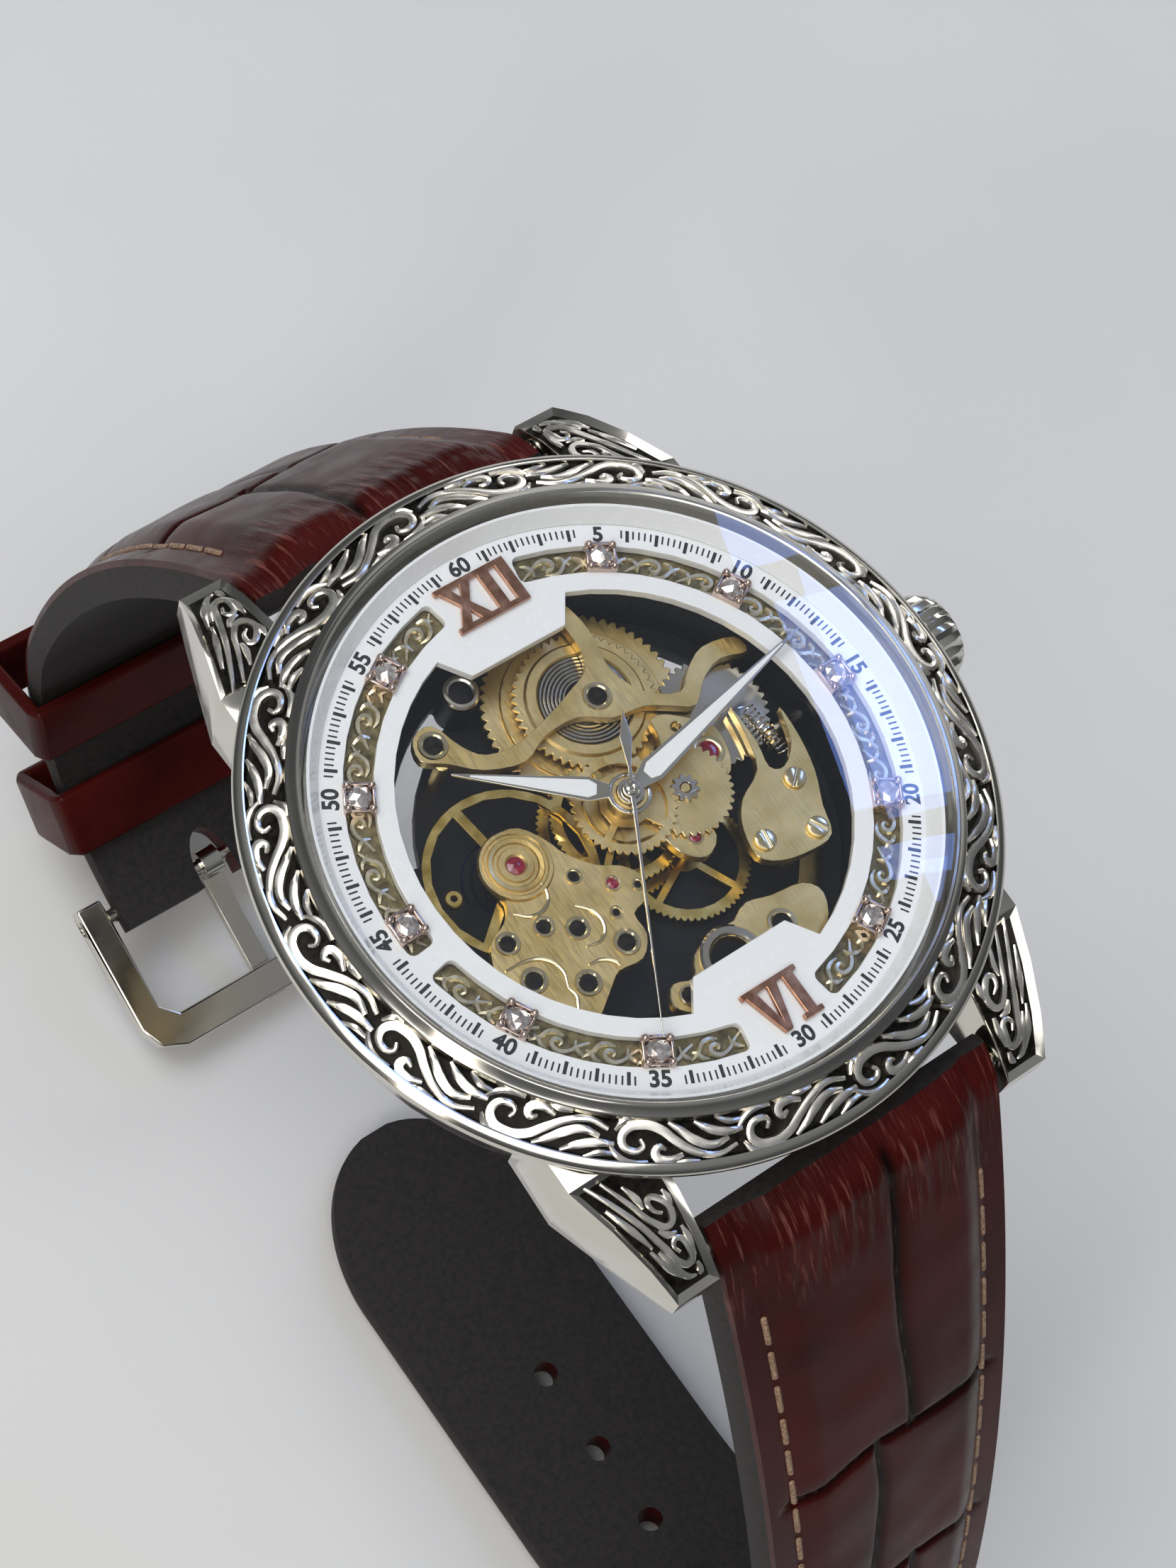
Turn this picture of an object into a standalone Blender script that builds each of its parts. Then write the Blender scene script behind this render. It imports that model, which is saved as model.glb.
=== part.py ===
"""A self-winding skeleton wristwatch on a padded leather strap, one object for each piece.

+Z is the way the dial faces, +Y points to twelve o'clock, +X to the crown at three o'clock.
The origin is the centre of the case back's outer face. Sizes below are in millimetres.
"""

import math

import bmesh
import bpy
from mathutils import Euler, Matrix, Vector

MM = 0.001

# Case, bezel and crystal
BEZEL_RADIUS = 21.0
BEZEL_WIDTH = 3.35
BEZEL_HEIGHT = 2.27
BEZEL_RIM = 0.3
CASE_STEP_IN = 0.6
CASE_FOOT_IN = 2.6
CASE_WALL = 3.1
CASE_BOTTOM = 0.5
CASE_TOP = 7.9
CRYSTAL_EDGE = 0.75
CRYSTAL_DOME = 0.55
CRYSTAL_HOLLOW = 0.35

# Lugs and spring bars
LUG_GAP = 20.0
LUG_BEYOND_BAR = 1.8
LUG_ROOT_WIDTH = 5.2
LUG_TIP_WIDTH = 2.7
LUG_TIP_TOP = 4.2
LUG_TIP_THICK = 1.6
LUG_BELLY = 2.1
BAR_FROM_CASE = 1.2
BAR_HEIGHT = 4.0
BAR_RADIUS = 0.75
BAR_TIP_RADIUS = 0.42
BAR_TIP_LENGTH = 1.5

# Case back
BACK_THICK = 1.2
BACK_GLASS_RADIUS = 13.5

# Rotor and main plate
POST_RADIUS = 1.0
POST_HEAD_RADIUS = 1.6
POST_HEAD_THICK = 0.2
POST_HEAD_GAP = 0.1
ROTOR_THICK = 0.7
ROTOR_RADIUS = 12.3
ROTOR_WEIGHT_WIDTH = 4.0
ROTOR_ROOM = 0.45
PLATE_RADIUS = 13.15
PLATE_THICK = 1.0
LEDGE_WIDTH = 0.4
LEDGE_THICK = 0.3

# Going train: layers above the main plate, axes and tooth counts
LAYER_START = 0.2
LAYER_PITCH = 0.35
WHEEL_THICK = 0.2
PINION_THICK = 0.3
BARREL_AT = (2.4, 6.5)
THIRD_AT = (2.4, -3.45)
ESCAPE_AT = (-3.1, -3.3)
BALANCE_AT = (-7.0, 0.2)
BARREL_TEETH = 60
CENTRE_PINION_LEAVES = 14
CENTRE_TEETH = 64
THIRD_PINION_LEAVES = 8
THIRD_TEETH = 60
FOURTH_PINION_LEAVES = 8
FOURTH_TEETH = 70
ESCAPE_PINION_LEAVES = 7
ESCAPE_TEETH = 15
ESCAPE_RADIUS = 1.45
PALLET_REACH = 2.1
PALLET_THICK = 0.2
ROLLER_RADIUS = 0.5
BALANCE_RADIUS = 4.85
BALANCE_RIM = 0.45
BALANCE_SPOKE = 0.55
HAIRSPRING_INNER = 0.75
HAIRSPRING_TURNS = 3.5
HAIRSPRING_PITCH = 0.54
HAIRSPRING_STRIP = 0.1
HAIRSPRING_HEIGHT = 0.3
DRUM_WALL_IN = 1.0
FOURTH_ARBOR = 0.22
CENTRE_TUBE_WALL = 0.22
WHEEL_ARBOR = 0.25

# Winding work and crown
RATCHET_TEETH = 48
CROWN_WHEEL_TEETH = 38
CROWN_WHEEL_AT = (8.2, 2.3)
WINDING_PINION_LEAVES = 12
WINDING_PINION_AT = 10.4
WINDING_PINION_WIDTH = 0.8
WINDING_PINION_RADIUS = 0.9
STEM_HEIGHT = 5.0
STEM_RADIUS = 0.5
STEM_IN_CROWN = 1.9
STEM_TRAVEL = 1.0
TUBE_WALL = 0.35
CROWN_RADIUS = 2.75
CROWN_LENGTH = 3.2
CROWN_FLUTES = 22
CROWN_GAP = 0.75

# Bridges
BRIDGE_THICK = 0.7
FOOT_RADIUS = 0.4
SCREW_RADIUS = 0.3
SCREW_HEAD_RADIUS = 0.62
SCREW_HEAD_THICK = 0.25
SCREW_SLOT = 0.16

# Motion work
MOTION_THICK = 0.16
CANNON_LEAVES = 12
MINUTE_WHEEL_TEETH = 36
MINUTE_PINION_LEAVES = 10
HOUR_TEETH = 40
MINUTE_WHEEL_DISTANCE = 3.6
MINUTE_WHEEL_BEARING = -15.0
CANNON_WALL = 0.2
HOUR_TUBE_WALL = 0.2

# Dial
ENGRAVED_THICK = 0.3
ENGRAVED_INNER_RADIUS = 12.95
DIAL_THICK = 0.62
DIAL_INNER_RADIUS = 12.5
WINDOW_INNER_RADIUS = 13.6
WINDOW_OUTER_RADIUS = 15.2
WINDOW_CORNER = 0.4
WINDOW_END_DEG = 10.5
PAD_INNER = 10.1
PAD_HALF_WIDTH = 3.1
PAD_ROOT_DEG = 20.0
REHAUT_INNER_RADIUS = 16.5
REHAUT_HEIGHT = 1.05
REHAUT_WALL = 0.35
STONE_CIRCLE = 14.4
STONE_LEG = 1.2
STONE_SIZE = 1.75
STONE_RISE = 0.55
NUMERAL_CIRCLE = 13.8
NUMERAL_HEIGHT = 2.9
NUMERAL_STRETCH = 1.28
NUMERAL_THICK = 0.3

# Hands, shown at about twelve minutes past ten
HAND_THICK = 0.18
HUB_RIM = 0.25
HAND_GAP = 0.12
HOUR_LENGTH = 9.6
MINUTE_LENGTH = 14.3
SECONDS_LENGTH = 13.9
SECONDS_TAIL = 4.6
SECONDS_HUB = 0.5
HOUR_CLOCK_DEG = 307.0
MINUTE_CLOCK_DEG = 77.2
SECONDS_CLOCK_DEG = 209.5
HAND_LIFT = 0.35

# Strap, keepers and buckle
STRAP_CLEAR = 0.4
STRAP_END_WIDTH = 16.0
STRAP_LINING = 1.6
STRAP_PAD = 2.3
STRAP_END_LINING = 1.2
STRAP_END_PAD = 1.2
STRAP_EDGE_DROP = 0.55
STRAP_RUN = 46.0
STRAP_END_BEFORE_BAR = 1.7
LONG_LEAVE_DEG = 55.0
LONG_RUN_DEG = 15.0
LONG_CURL = 38.0
LONG_CURL_DEG = 108.0
LONG_LENGTH = 115.0
LONG_TIP = 11.0
SHORT_LEAVE_DEG = 48.0
SHORT_RUN_DEG = 30.0
SHORT_CURL_DEG = 87.0
SHORT_LENGTH = 76.0
HOLE_COUNT = 6
HOLE_PITCH = 6.5
HOLE_RADIUS = 0.9
HOLE_FIRST_FROM_TIP = 22.0
BUCKLE_BAR_RADIUS = 0.6
BUCKLE_LENGTH = 11.0
BUCKLE_ARM = 2.0
BUCKLE_FRONT = 2.4
BUCKLE_THICK = 1.7
TONGUE_WIDTH = 1.5
TONGUE_THICK = 0.9
TONGUE_EYE_RADIUS = 1.15
TONGUE_SLOT_BACK = 2.6
TONGUE_SLOT_FRONT = 4.0
KEEPER_WIDTH = 5.0
KEEPER_WALL = 1.0
KEEPER_CLEAR = 0.45
KEEPER_ROOM = 2.6
FIXED_KEEPER_FROM_END = 10.0
KEEPER_APART = 9.5

# Clearances and facets
SEAT = 0.03
RUN = 0.05
FACETS = 52
FEW_FACETS = 24

# Radii that follow from the sizes above
BEZEL_INNER = BEZEL_RADIUS - BEZEL_WIDTH
CASE_RADIUS = BEZEL_RADIUS - CASE_STEP_IN
CASE_BORE = CASE_RADIUS - CASE_WALL
CASE_FOOT = BEZEL_RADIUS - CASE_FOOT_IN
BAR_REACH = CASE_RADIUS + BAR_FROM_CASE
LUG_REACH = BAR_REACH + LUG_BEYOND_BAR
INSIDE_CASE = CASE_BORE - SEAT
RING_INNER = PLATE_RADIUS + RUN

# Heights that follow from the sizes above
POST_BOTTOM = BACK_THICK + POST_HEAD_GAP
ROTOR_BOTTOM = POST_BOTTOM + POST_HEAD_THICK + RUN
PLATE_BOTTOM = ROTOR_BOTTOM + ROTOR_THICK + ROTOR_ROOM
PLATE_TOP = PLATE_BOTTOM + PLATE_THICK
FIRST_LAYER = PLATE_TOP + LAYER_START
FOURTH_Z = FIRST_LAYER
THIRD_Z = FIRST_LAYER + LAYER_PITCH
ESCAPE_Z = FIRST_LAYER + 2 * LAYER_PITCH
DRIVE_Z = FIRST_LAYER + 3 * LAYER_PITCH
CENTRE_Z = FIRST_LAYER + 5 * LAYER_PITCH
TOP_LAYER_Z = FIRST_LAYER + 6 * LAYER_PITCH
BRIDGE_BOTTOM = TOP_LAYER_Z + WHEEL_THICK + LAYER_START
BRIDGE_TOP = BRIDGE_BOTTOM + BRIDGE_THICK
MOTION_Z = BRIDGE_TOP + 2 * RUN
HOUR_WHEEL_Z = MOTION_Z + MOTION_THICK + RUN
RING_TOP = BRIDGE_TOP + LAYER_PITCH
ENGRAVED_BOTTOM = RING_TOP + SEAT
DIAL_BOTTOM = ENGRAVED_BOTTOM + ENGRAVED_THICK + SEAT
DIAL_TOP = DIAL_BOTTOM + DIAL_THICK
REHAUT_BOTTOM = DIAL_TOP + SEAT
CRYSTAL_BOTTOM = REHAUT_BOTTOM + REHAUT_HEIGHT + SEAT
HOUR_HAND_Z = DIAL_TOP + HAND_LIFT
MINUTE_HAND_Z = HOUR_HAND_Z + HAND_THICK + HAND_GAP
SECONDS_HAND_Z = MINUTE_HAND_Z + HAND_THICK + HAND_GAP
BEZEL_BOTTOM = CASE_TOP + SEAT

# Coaxial tubes at the centre, from the seconds arbor outwards
CENTRE_BORE = FOURTH_ARBOR + RUN
CENTRE_TUBE = CENTRE_BORE + CENTRE_TUBE_WALL
CANNON_BORE = CENTRE_TUBE + SEAT
CANNON_TUBE = CANNON_BORE + CANNON_WALL
HOUR_BORE = CANNON_TUBE + RUN
HOUR_TUBE = HOUR_BORE + HOUR_TUBE_WALL


def distance(first, second):
    return math.hypot(second[0] - first[0], second[1] - first[1])


def bearing(first, second):
    return math.atan2(second[1] - first[1], second[0] - first[0])


def share(first_teeth, second_teeth, between):
    """Pitch radii of two meshing gears whose axes lie this far apart."""
    whole = first_teeth + second_teeth
    return between * first_teeth / whole, between * second_teeth / whole


def mesh_phase(line, first_teeth, first_phase, second_teeth):
    """Turn of a second gear that puts a gap where the first one has a tooth, on the line between them."""
    rolled = (first_phase - line) * first_teeth / second_teeth
    return line + math.pi - rolled - math.pi / second_teeth


# Pitch radii and phases of the gears
CENTRE_AT = (0.0, 0.0)
BARREL_PITCH, CENTRE_PINION_PITCH = share(BARREL_TEETH, CENTRE_PINION_LEAVES, distance(CENTRE_AT, BARREL_AT))
CENTRE_PITCH, THIRD_PINION_PITCH = share(CENTRE_TEETH, THIRD_PINION_LEAVES, distance(CENTRE_AT, THIRD_AT))
THIRD_PITCH, FOURTH_PINION_PITCH = share(THIRD_TEETH, FOURTH_PINION_LEAVES, distance(CENTRE_AT, THIRD_AT))
FOURTH_PITCH, ESCAPE_PINION_PITCH = share(FOURTH_TEETH, ESCAPE_PINION_LEAVES, distance(CENTRE_AT, ESCAPE_AT))
RATCHET_PITCH, CROWN_WHEEL_PITCH = share(
    RATCHET_TEETH, CROWN_WHEEL_TEETH, distance(BARREL_AT, CROWN_WHEEL_AT)
)
CANNON_PITCH, MINUTE_WHEEL_PITCH = share(CANNON_LEAVES, MINUTE_WHEEL_TEETH, MINUTE_WHEEL_DISTANCE)
HOUR_PITCH, MINUTE_PINION_PITCH = share(HOUR_TEETH, MINUTE_PINION_LEAVES, MINUTE_WHEEL_DISTANCE)
MINUTE_LINE = math.radians(MINUTE_WHEEL_BEARING)
MINUTE_WHEEL_AT = (
    MINUTE_WHEEL_DISTANCE * math.cos(MINUTE_LINE), MINUTE_WHEEL_DISTANCE * math.sin(MINUTE_LINE)
)


def metal(name, colour, roughness, metallic=1.0, alpha=1.0):
    material = bpy.data.materials.new(name)
    material.use_nodes = True
    shader = material.node_tree.nodes["Principled BSDF"]
    shader.inputs["Base Color"].default_value = (*colour, 1.0)
    shader.inputs["Roughness"].default_value = roughness
    shader.inputs["Metallic"].default_value = metallic
    shader.inputs["Alpha"].default_value = alpha
    material.diffuse_color = (*colour, alpha)
    return material


def clear_scene():
    for old in list(bpy.data.objects):
        bpy.data.objects.remove(old, do_unlink=True)


clear_scene()

STEEL = metal("polished steel", (0.62, 0.60, 0.56), 0.16)
BRASS = metal("satin champagne brass", (0.60, 0.47, 0.24), 0.35)
GOLD = metal("gilt brass", (0.78, 0.58, 0.20), 0.25)
ROSE = metal("rose gold", (0.60, 0.30, 0.18), 0.25)
OLIVE = metal("engraved olive brass", (0.34, 0.29, 0.16), 0.45)
DARK = metal("black plated brass", (0.03, 0.03, 0.035), 0.4)
WHITE = metal("white enamel", (0.88, 0.89, 0.88), 0.35, 0.0)
GLASS = metal("mineral glass", (0.9, 0.93, 0.96), 0.03, 0.0, 0.25)
STONE = metal("white stone", (0.85, 0.87, 0.9), 0.05, 0.0)
BLUE = metal("blued spring steel", (0.05, 0.08, 0.25), 0.3)
LEATHER = metal("burgundy brown leather", (0.045, 0.011, 0.008), 0.35, 0.0)


def bare_object(name, mesh, at=(0.0, 0.0, 0.0), turn=(0.0, 0.0, 0.0)):
    thing = bpy.data.objects.new(name, mesh)
    thing.location = Vector(at) * MM
    thing.rotation_euler = Euler(turn)
    bpy.context.scene.collection.objects.link(thing)
    return thing


def solid(name, mesh, material, at=(0.0, 0.0, 0.0), turn=(0.0, 0.0, 0.0)):
    """A finished piece: its mesh, its one material, and its place."""
    mesh.name = name
    mesh.materials.append(material)
    mesh.shade_smooth()
    mesh.set_sharp_from_angle(angle=math.radians(30.0))
    return bare_object(name, mesh, at, turn)


def combine(thing, mesh, operation):
    """A Boolean with a hidden helper that shares the piece's place."""
    helper = bare_object(f"{thing.name}.{operation.lower()}", mesh)
    helper.location = thing.location
    helper.rotation_euler = thing.rotation_euler
    helper.hide_render = True
    helper.display_type = "WIRE"
    step = thing.modifiers.new(operation.lower(), "BOOLEAN")
    step.operation = operation
    step.solver = "EXACT"
    step.object = helper


def add(thing, mesh):
    combine(thing, mesh, "UNION")


def cut(thing, mesh):
    combine(thing, mesh, "DIFFERENCE")


def finished(shape):
    """A mesh in metres from a bmesh in millimetres, with its faces turned outwards."""
    bmesh.ops.remove_doubles(shape, verts=shape.verts, dist=0.0005)
    bmesh.ops.recalc_face_normals(shape, faces=shape.faces)
    bmesh.ops.scale(shape, vec=(MM, MM, MM), verts=shape.verts)
    mesh = bpy.data.meshes.new("shape")
    shape.to_mesh(mesh)
    shape.free()
    return mesh


def merged(meshes):
    """One mesh that holds several closed shapes."""
    shape = bmesh.new()
    for mesh in meshes:
        shape.from_mesh(mesh)
    mesh = bpy.data.meshes.new("shapes")
    shape.to_mesh(mesh)
    shape.free()
    return mesh


def circle(radius, count=FEW_FACETS, at=(0.0, 0.0)):
    step = math.tau / count
    return [(at[0] + radius * math.cos(i * step), at[1] + radius * math.sin(i * step)) for i in range(count)]


def arc(radius, start_deg, end_deg, count, at=(0.0, 0.0)):
    points = []
    for i in range(count + 1):
        angle = math.radians(start_deg + (end_deg - start_deg) * i / count)
        points.append((at[0] + radius * math.cos(angle), at[1] + radius * math.sin(angle)))
    return points


def smooth_loop(points, steps=3):
    """A closed curve through the points, rounded between them."""
    count = len(points)
    curve = []
    for i in range(count):
        before, start, end, after = (Vector(points[(i + k) % count]) for k in (-1, 0, 1, 2))
        for step in range(steps):
            t = step / steps
            along = 2 * start + (end - before) * t
            bend = (2 * before - 5 * start + 4 * end - after) * t * t
            twist = (3 * start - before - 3 * end + after) * t ** 3
            curve.append(tuple((along + bend + twist) / 2))
    return curve


def plate(loops, bottom, top):
    """A flat piece: the first loop is its outline and the others are its openings."""
    curve = bpy.data.curves.new("outline", "CURVE")
    curve.dimensions = "2D"
    curve.fill_mode = "BOTH"
    curve.extrude = (top - bottom) / 2
    for loop in loops:
        spline = curve.splines.new("POLY")
        spline.points.add(len(loop) - 1)
        spline.use_cyclic_u = True
        for point, (x, y) in zip(spline.points, loop):
            point.co = (x, y, 0.0, 1.0)
    drawn = bpy.data.objects.new("outline", curve)
    bpy.context.scene.collection.objects.link(drawn)
    seen = drawn.evaluated_get(bpy.context.evaluated_depsgraph_get())
    flat = bpy.data.meshes.new_from_object(seen)
    bpy.data.objects.remove(drawn)
    shape = bmesh.new()
    shape.from_mesh(flat)
    bmesh.ops.translate(shape, vec=(0.0, 0.0, (top + bottom) / 2), verts=shape.verts)
    return finished(shape)


def turned(profile, facets=FACETS):
    """A closed profile of (radius, height) points spun round the Z axis."""
    shape = bmesh.new()
    ring = [shape.verts.new((radius, 0.0, height)) for radius, height in profile]
    edges = [shape.edges.new((ring[i - 1], ring[i])) for i in range(len(ring))]
    bmesh.ops.spin(
        shape,
        geom=ring + edges,
        axis=(0.0, 0.0, 1.0),
        cent=(0.0, 0.0, 0.0),
        angle=math.tau,
        steps=facets,
        use_merge=True,
    )
    bmesh.ops.remove_doubles(shape, verts=shape.verts, dist=0.0005)
    on_axis = [edge for edge in shape.edges if not edge.link_faces]
    bmesh.ops.delete(shape, geom=on_axis, context="EDGES")
    return finished(shape)


def rod(radius, bottom, top, facets=FEW_FACETS, at=(0.0, 0.0)):
    return plate([circle(radius, facets, at)], bottom, top)


def along_x(mesh):
    """Lays a shape that stands on Z along X instead."""
    mesh.transform(Matrix.Rotation(math.pi / 2, 4, "Y"))
    return mesh


def moved(mesh, offset):
    mesh.transform(Matrix.Translation(Vector(offset) * MM))
    return mesh


def loft(rings):
    """A closed skin over rings of equal count, with flat ends."""
    shape = bmesh.new()
    rows = [[shape.verts.new(point) for point in ring] for ring in rings]
    for first, second in zip(rows, rows[1:]):
        for i in range(len(first)):
            shape.faces.new((first[i - 1], first[i], second[i], second[i - 1]))
    shape.faces.new(rows[0])
    shape.faces.new(reversed(rows[-1]))
    return finished(shape)


def gear(teeth, pitch, phase=0.0):
    """The outline of a toothed wheel with V-shaped gaps."""
    module = 2 * pitch / teeth
    tip = pitch + 0.6 * module
    root = pitch - module
    step = math.tau / teeth
    outline = []
    for i in range(teeth):
        middle = phase + i * step
        for radius, angle in (
            (tip, middle - 0.14 * step), (tip, middle + 0.14 * step), (root, middle + 0.5 * step)
        ):
            outline.append((radius * math.cos(angle), radius * math.sin(angle)))
    return outline


def spoke_windows(count, inner, outer, spoke, start=0.0):
    """Openings that leave straight-sided spokes between a hub and a rim."""
    windows = []
    for i in range(count):
        middle = start + (i + 0.5) * 360.0 / count
        half_out = 180.0 / count - math.degrees(math.asin(spoke / 2 / outer))
        half_in = 180.0 / count - math.degrees(math.asin(min(spoke / 2 / inner, 0.9)))
        rim = arc(outer, middle - half_out, middle + half_out, 6)
        hub = arc(inner, middle + half_in, middle - half_in, 2)
        windows.append(rim + hub)
    return windows


# Case: the middle with its lugs, the bezel and the crystal


def lug(side_x, side_y):
    """One lug, from inside the case wall to its flat tip."""
    wall = (CASE_BORE + CASE_RADIUS) / 2
    root_y = wall * math.sin(math.radians(40.0))
    root_x = wall * math.cos(math.radians(40.0))
    inner = LUG_GAP / 2
    shoulder_y = math.sqrt(wall ** 2 - inner ** 2)
    run = LUG_REACH - shoulder_y
    top = CASE_TOP - 0.3
    drop = top - LUG_TIP_TOP
    narrowing = LUG_ROOT_WIDTH - LUG_TIP_WIDTH
    rings = []
    rows = [(root_y, root_x - 0.8, root_x + 0.8, LUG_BELLY + 0.6, top)]
    for part, fall in ((0.0, 0.04), (0.38, 0.22), (0.72, 0.55), (0.92, 0.86), (1.0, 1.0)):
        belly = LUG_BELLY + (LUG_TIP_TOP - LUG_TIP_THICK - LUG_BELLY) * part ** 4
        width = LUG_ROOT_WIDTH - narrowing * part
        rows.append((shoulder_y + run * part, inner, inner + width, belly, top - drop * fall))
    for y, x_in, x_out, bottom, height in rows:
        corners = ((x_in, bottom), (x_out, bottom), (x_out, height), (x_in, height))
        rings.append([(side_x * x, side_y * y, z) for x, z in corners])
    return loft(rings)


case_profile = [
    (CASE_BORE, CASE_TOP),
    (CASE_BORE, CASE_BOTTOM),
    (CASE_FOOT, CASE_BOTTOM),
    (CASE_FOOT + 0.3 * (CASE_RADIUS - CASE_FOOT), CASE_BOTTOM + 0.27 * (CASE_TOP - CASE_BOTTOM)),
    (CASE_FOOT + 0.66 * (CASE_RADIUS - CASE_FOOT), CASE_BOTTOM + 0.55 * (CASE_TOP - CASE_BOTTOM)),
    (CASE_FOOT + 0.93 * (CASE_RADIUS - CASE_FOOT), CASE_BOTTOM + 0.82 * (CASE_TOP - CASE_BOTTOM)),
    (CASE_RADIUS, CASE_TOP),
]
TUBE_BORE = STEM_RADIUS + 0.1
TUBE_RADIUS = TUBE_BORE + TUBE_WALL
mid_case = solid("mid_case", turned(case_profile), STEEL)
for side_y in (1, -1):
    for side_x in (1, -1):
        add(mid_case, lug(side_x, side_y))
    bar_hole = along_x(
        rod(BAR_TIP_RADIUS + RUN, -LUG_GAP / 2 - BAR_TIP_LENGTH, LUG_GAP / 2 + BAR_TIP_LENGTH, 12)
    )
    cut(mid_case, moved(bar_hole, (0.0, side_y * BAR_REACH, BAR_HEIGHT)))
tube_hole = along_x(rod(TUBE_RADIUS + SEAT, CASE_BORE - 1.0, BEZEL_RADIUS + 1.0))
cut(mid_case, moved(tube_hole, (0.0, 0.0, STEM_HEIGHT)))

bezel_top = BEZEL_BOTTOM + BEZEL_HEIGHT
bezel_profile = [
    (BEZEL_INNER, bezel_top),
    (BEZEL_INNER, BEZEL_BOTTOM),
    (BEZEL_RADIUS - 0.2, BEZEL_BOTTOM),
    (BEZEL_RADIUS, BEZEL_BOTTOM + 0.15),
    (BEZEL_RADIUS, BEZEL_BOTTOM + 0.5),
    (BEZEL_RADIUS - BEZEL_RIM, BEZEL_BOTTOM + 0.8),
    (BEZEL_INNER + BEZEL_RIM + 0.15, bezel_top - 0.25),
    (BEZEL_INNER + BEZEL_RIM, bezel_top),
]
solid("bezel", turned(bezel_profile), STEEL)

crystal_radius = BEZEL_INNER - SEAT
crystal_profile = [(0.0, CRYSTAL_BOTTOM + CRYSTAL_HOLLOW)]
for part in (0.5, 0.85):
    crystal_profile.append((crystal_radius * part, CRYSTAL_BOTTOM + CRYSTAL_HOLLOW * (1 - part ** 2)))
crystal_profile.append((crystal_radius, CRYSTAL_BOTTOM))
crystal_profile.append((crystal_radius, CRYSTAL_BOTTOM + CRYSTAL_EDGE))
for part in (0.85, 0.5):
    crystal_profile.append(
        (crystal_radius * part, CRYSTAL_BOTTOM + CRYSTAL_EDGE + CRYSTAL_DOME * (1 - part ** 2))
    )
crystal_profile.append((0.0, CRYSTAL_BOTTOM + CRYSTAL_EDGE + CRYSTAL_DOME))
solid("crystal", turned(crystal_profile), GLASS)

# Case back: a steel ring in the case bore, a glass in the ring

back_ring_profile = [
    (BACK_GLASS_RADIUS + SEAT, BACK_THICK),
    (BACK_GLASS_RADIUS + SEAT, 0.0),
    (INSIDE_CASE - 0.3, 0.0),
    (INSIDE_CASE, 0.3),
    (INSIDE_CASE, BACK_THICK),
]
solid("case_back_ring", turned(back_ring_profile), STEEL)
solid("case_back_glass", rod(BACK_GLASS_RADIUS, 0.0, BACK_THICK, FACETS), GLASS)

# Movement ring, main plate and rotor

movement_ring_profile = [
    (RING_INNER, RING_TOP),
    (RING_INNER, PLATE_BOTTOM - SEAT),
    (RING_INNER - LEDGE_WIDTH, PLATE_BOTTOM - SEAT),
    (RING_INNER - LEDGE_WIDTH, PLATE_BOTTOM - SEAT - LEDGE_THICK),
    (RING_INNER, PLATE_BOTTOM - SEAT - LEDGE_THICK),
    (RING_INNER, BACK_THICK + SEAT),
    (INSIDE_CASE, BACK_THICK + SEAT),
    (INSIDE_CASE, RING_TOP),
]
movement_ring = solid("movement_ring", turned(movement_ring_profile, 48), STEEL)
stem_hole = along_x(rod(TUBE_RADIUS + SEAT, RING_INNER - 1.0, CASE_BORE + 1.0, 16))
cut(movement_ring, moved(stem_hole, (0.0, 0.0, STEM_HEIGHT)))

plate_windows = []
for start_deg, end_deg in ((20.0, 70.0), (110.0, 160.0), (200.0, 250.0), (290.0, 340.0)):
    rim = arc(PLATE_RADIUS - 1.2, start_deg, end_deg, 8)
    hub = arc(PLATE_RADIUS - 2.4, end_deg, start_deg, 6)
    plate_windows.append(rim + hub)
solid("main_plate", plate([circle(PLATE_RADIUS, 48)] + plate_windows, PLATE_BOTTOM, PLATE_TOP), DARK)

post_profile = [
    (0.0, PLATE_BOTTOM - SEAT),
    (0.0, POST_BOTTOM),
    (POST_HEAD_RADIUS, POST_BOTTOM),
    (POST_HEAD_RADIUS, POST_BOTTOM + POST_HEAD_THICK),
    (POST_RADIUS, POST_BOTTOM + POST_HEAD_THICK),
    (POST_RADIUS, PLATE_BOTTOM - SEAT),
]
solid("rotor_post", turned(post_profile, FEW_FACETS), STEEL)

rotor_inner = ROTOR_RADIUS - ROTOR_WEIGHT_WIDTH
rotor_outline = arc(ROTOR_RADIUS, 182.0, 358.0, 24)
rotor_outline += arc(rotor_inner, 352.0, 310.0, 5)
rotor_outline += arc(POST_RADIUS + 1.8, 300.0, 600.0, 16)
rotor_outline += arc(rotor_inner, 230.0, 188.0, 5)
solid(
    "rotor",
    plate([rotor_outline, circle(POST_RADIUS + RUN)], ROTOR_BOTTOM, ROTOR_BOTTOM + ROTOR_THICK),
    BRASS,
)

# Going train: barrel, centre, third, fourth and escape wheels


def wheel_with_arbor(name, at, arbor, bottom, top, shapes, material):
    """A wheel whose arbor runs from the main plate's top to the bridge above it."""
    piece = solid(name, rod(arbor, bottom, top, 12), material, (*at, 0.0))
    for shape in shapes:
        add(piece, shape)
    return piece


ARBOR_BOTTOM = PLATE_TOP + RUN
ARBOR_TOP = BRIDGE_BOTTOM - RUN
PIVOT_TOP = BRIDGE_TOP - RUN
PIVOT_HOLE = WHEEL_ARBOR + RUN

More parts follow.
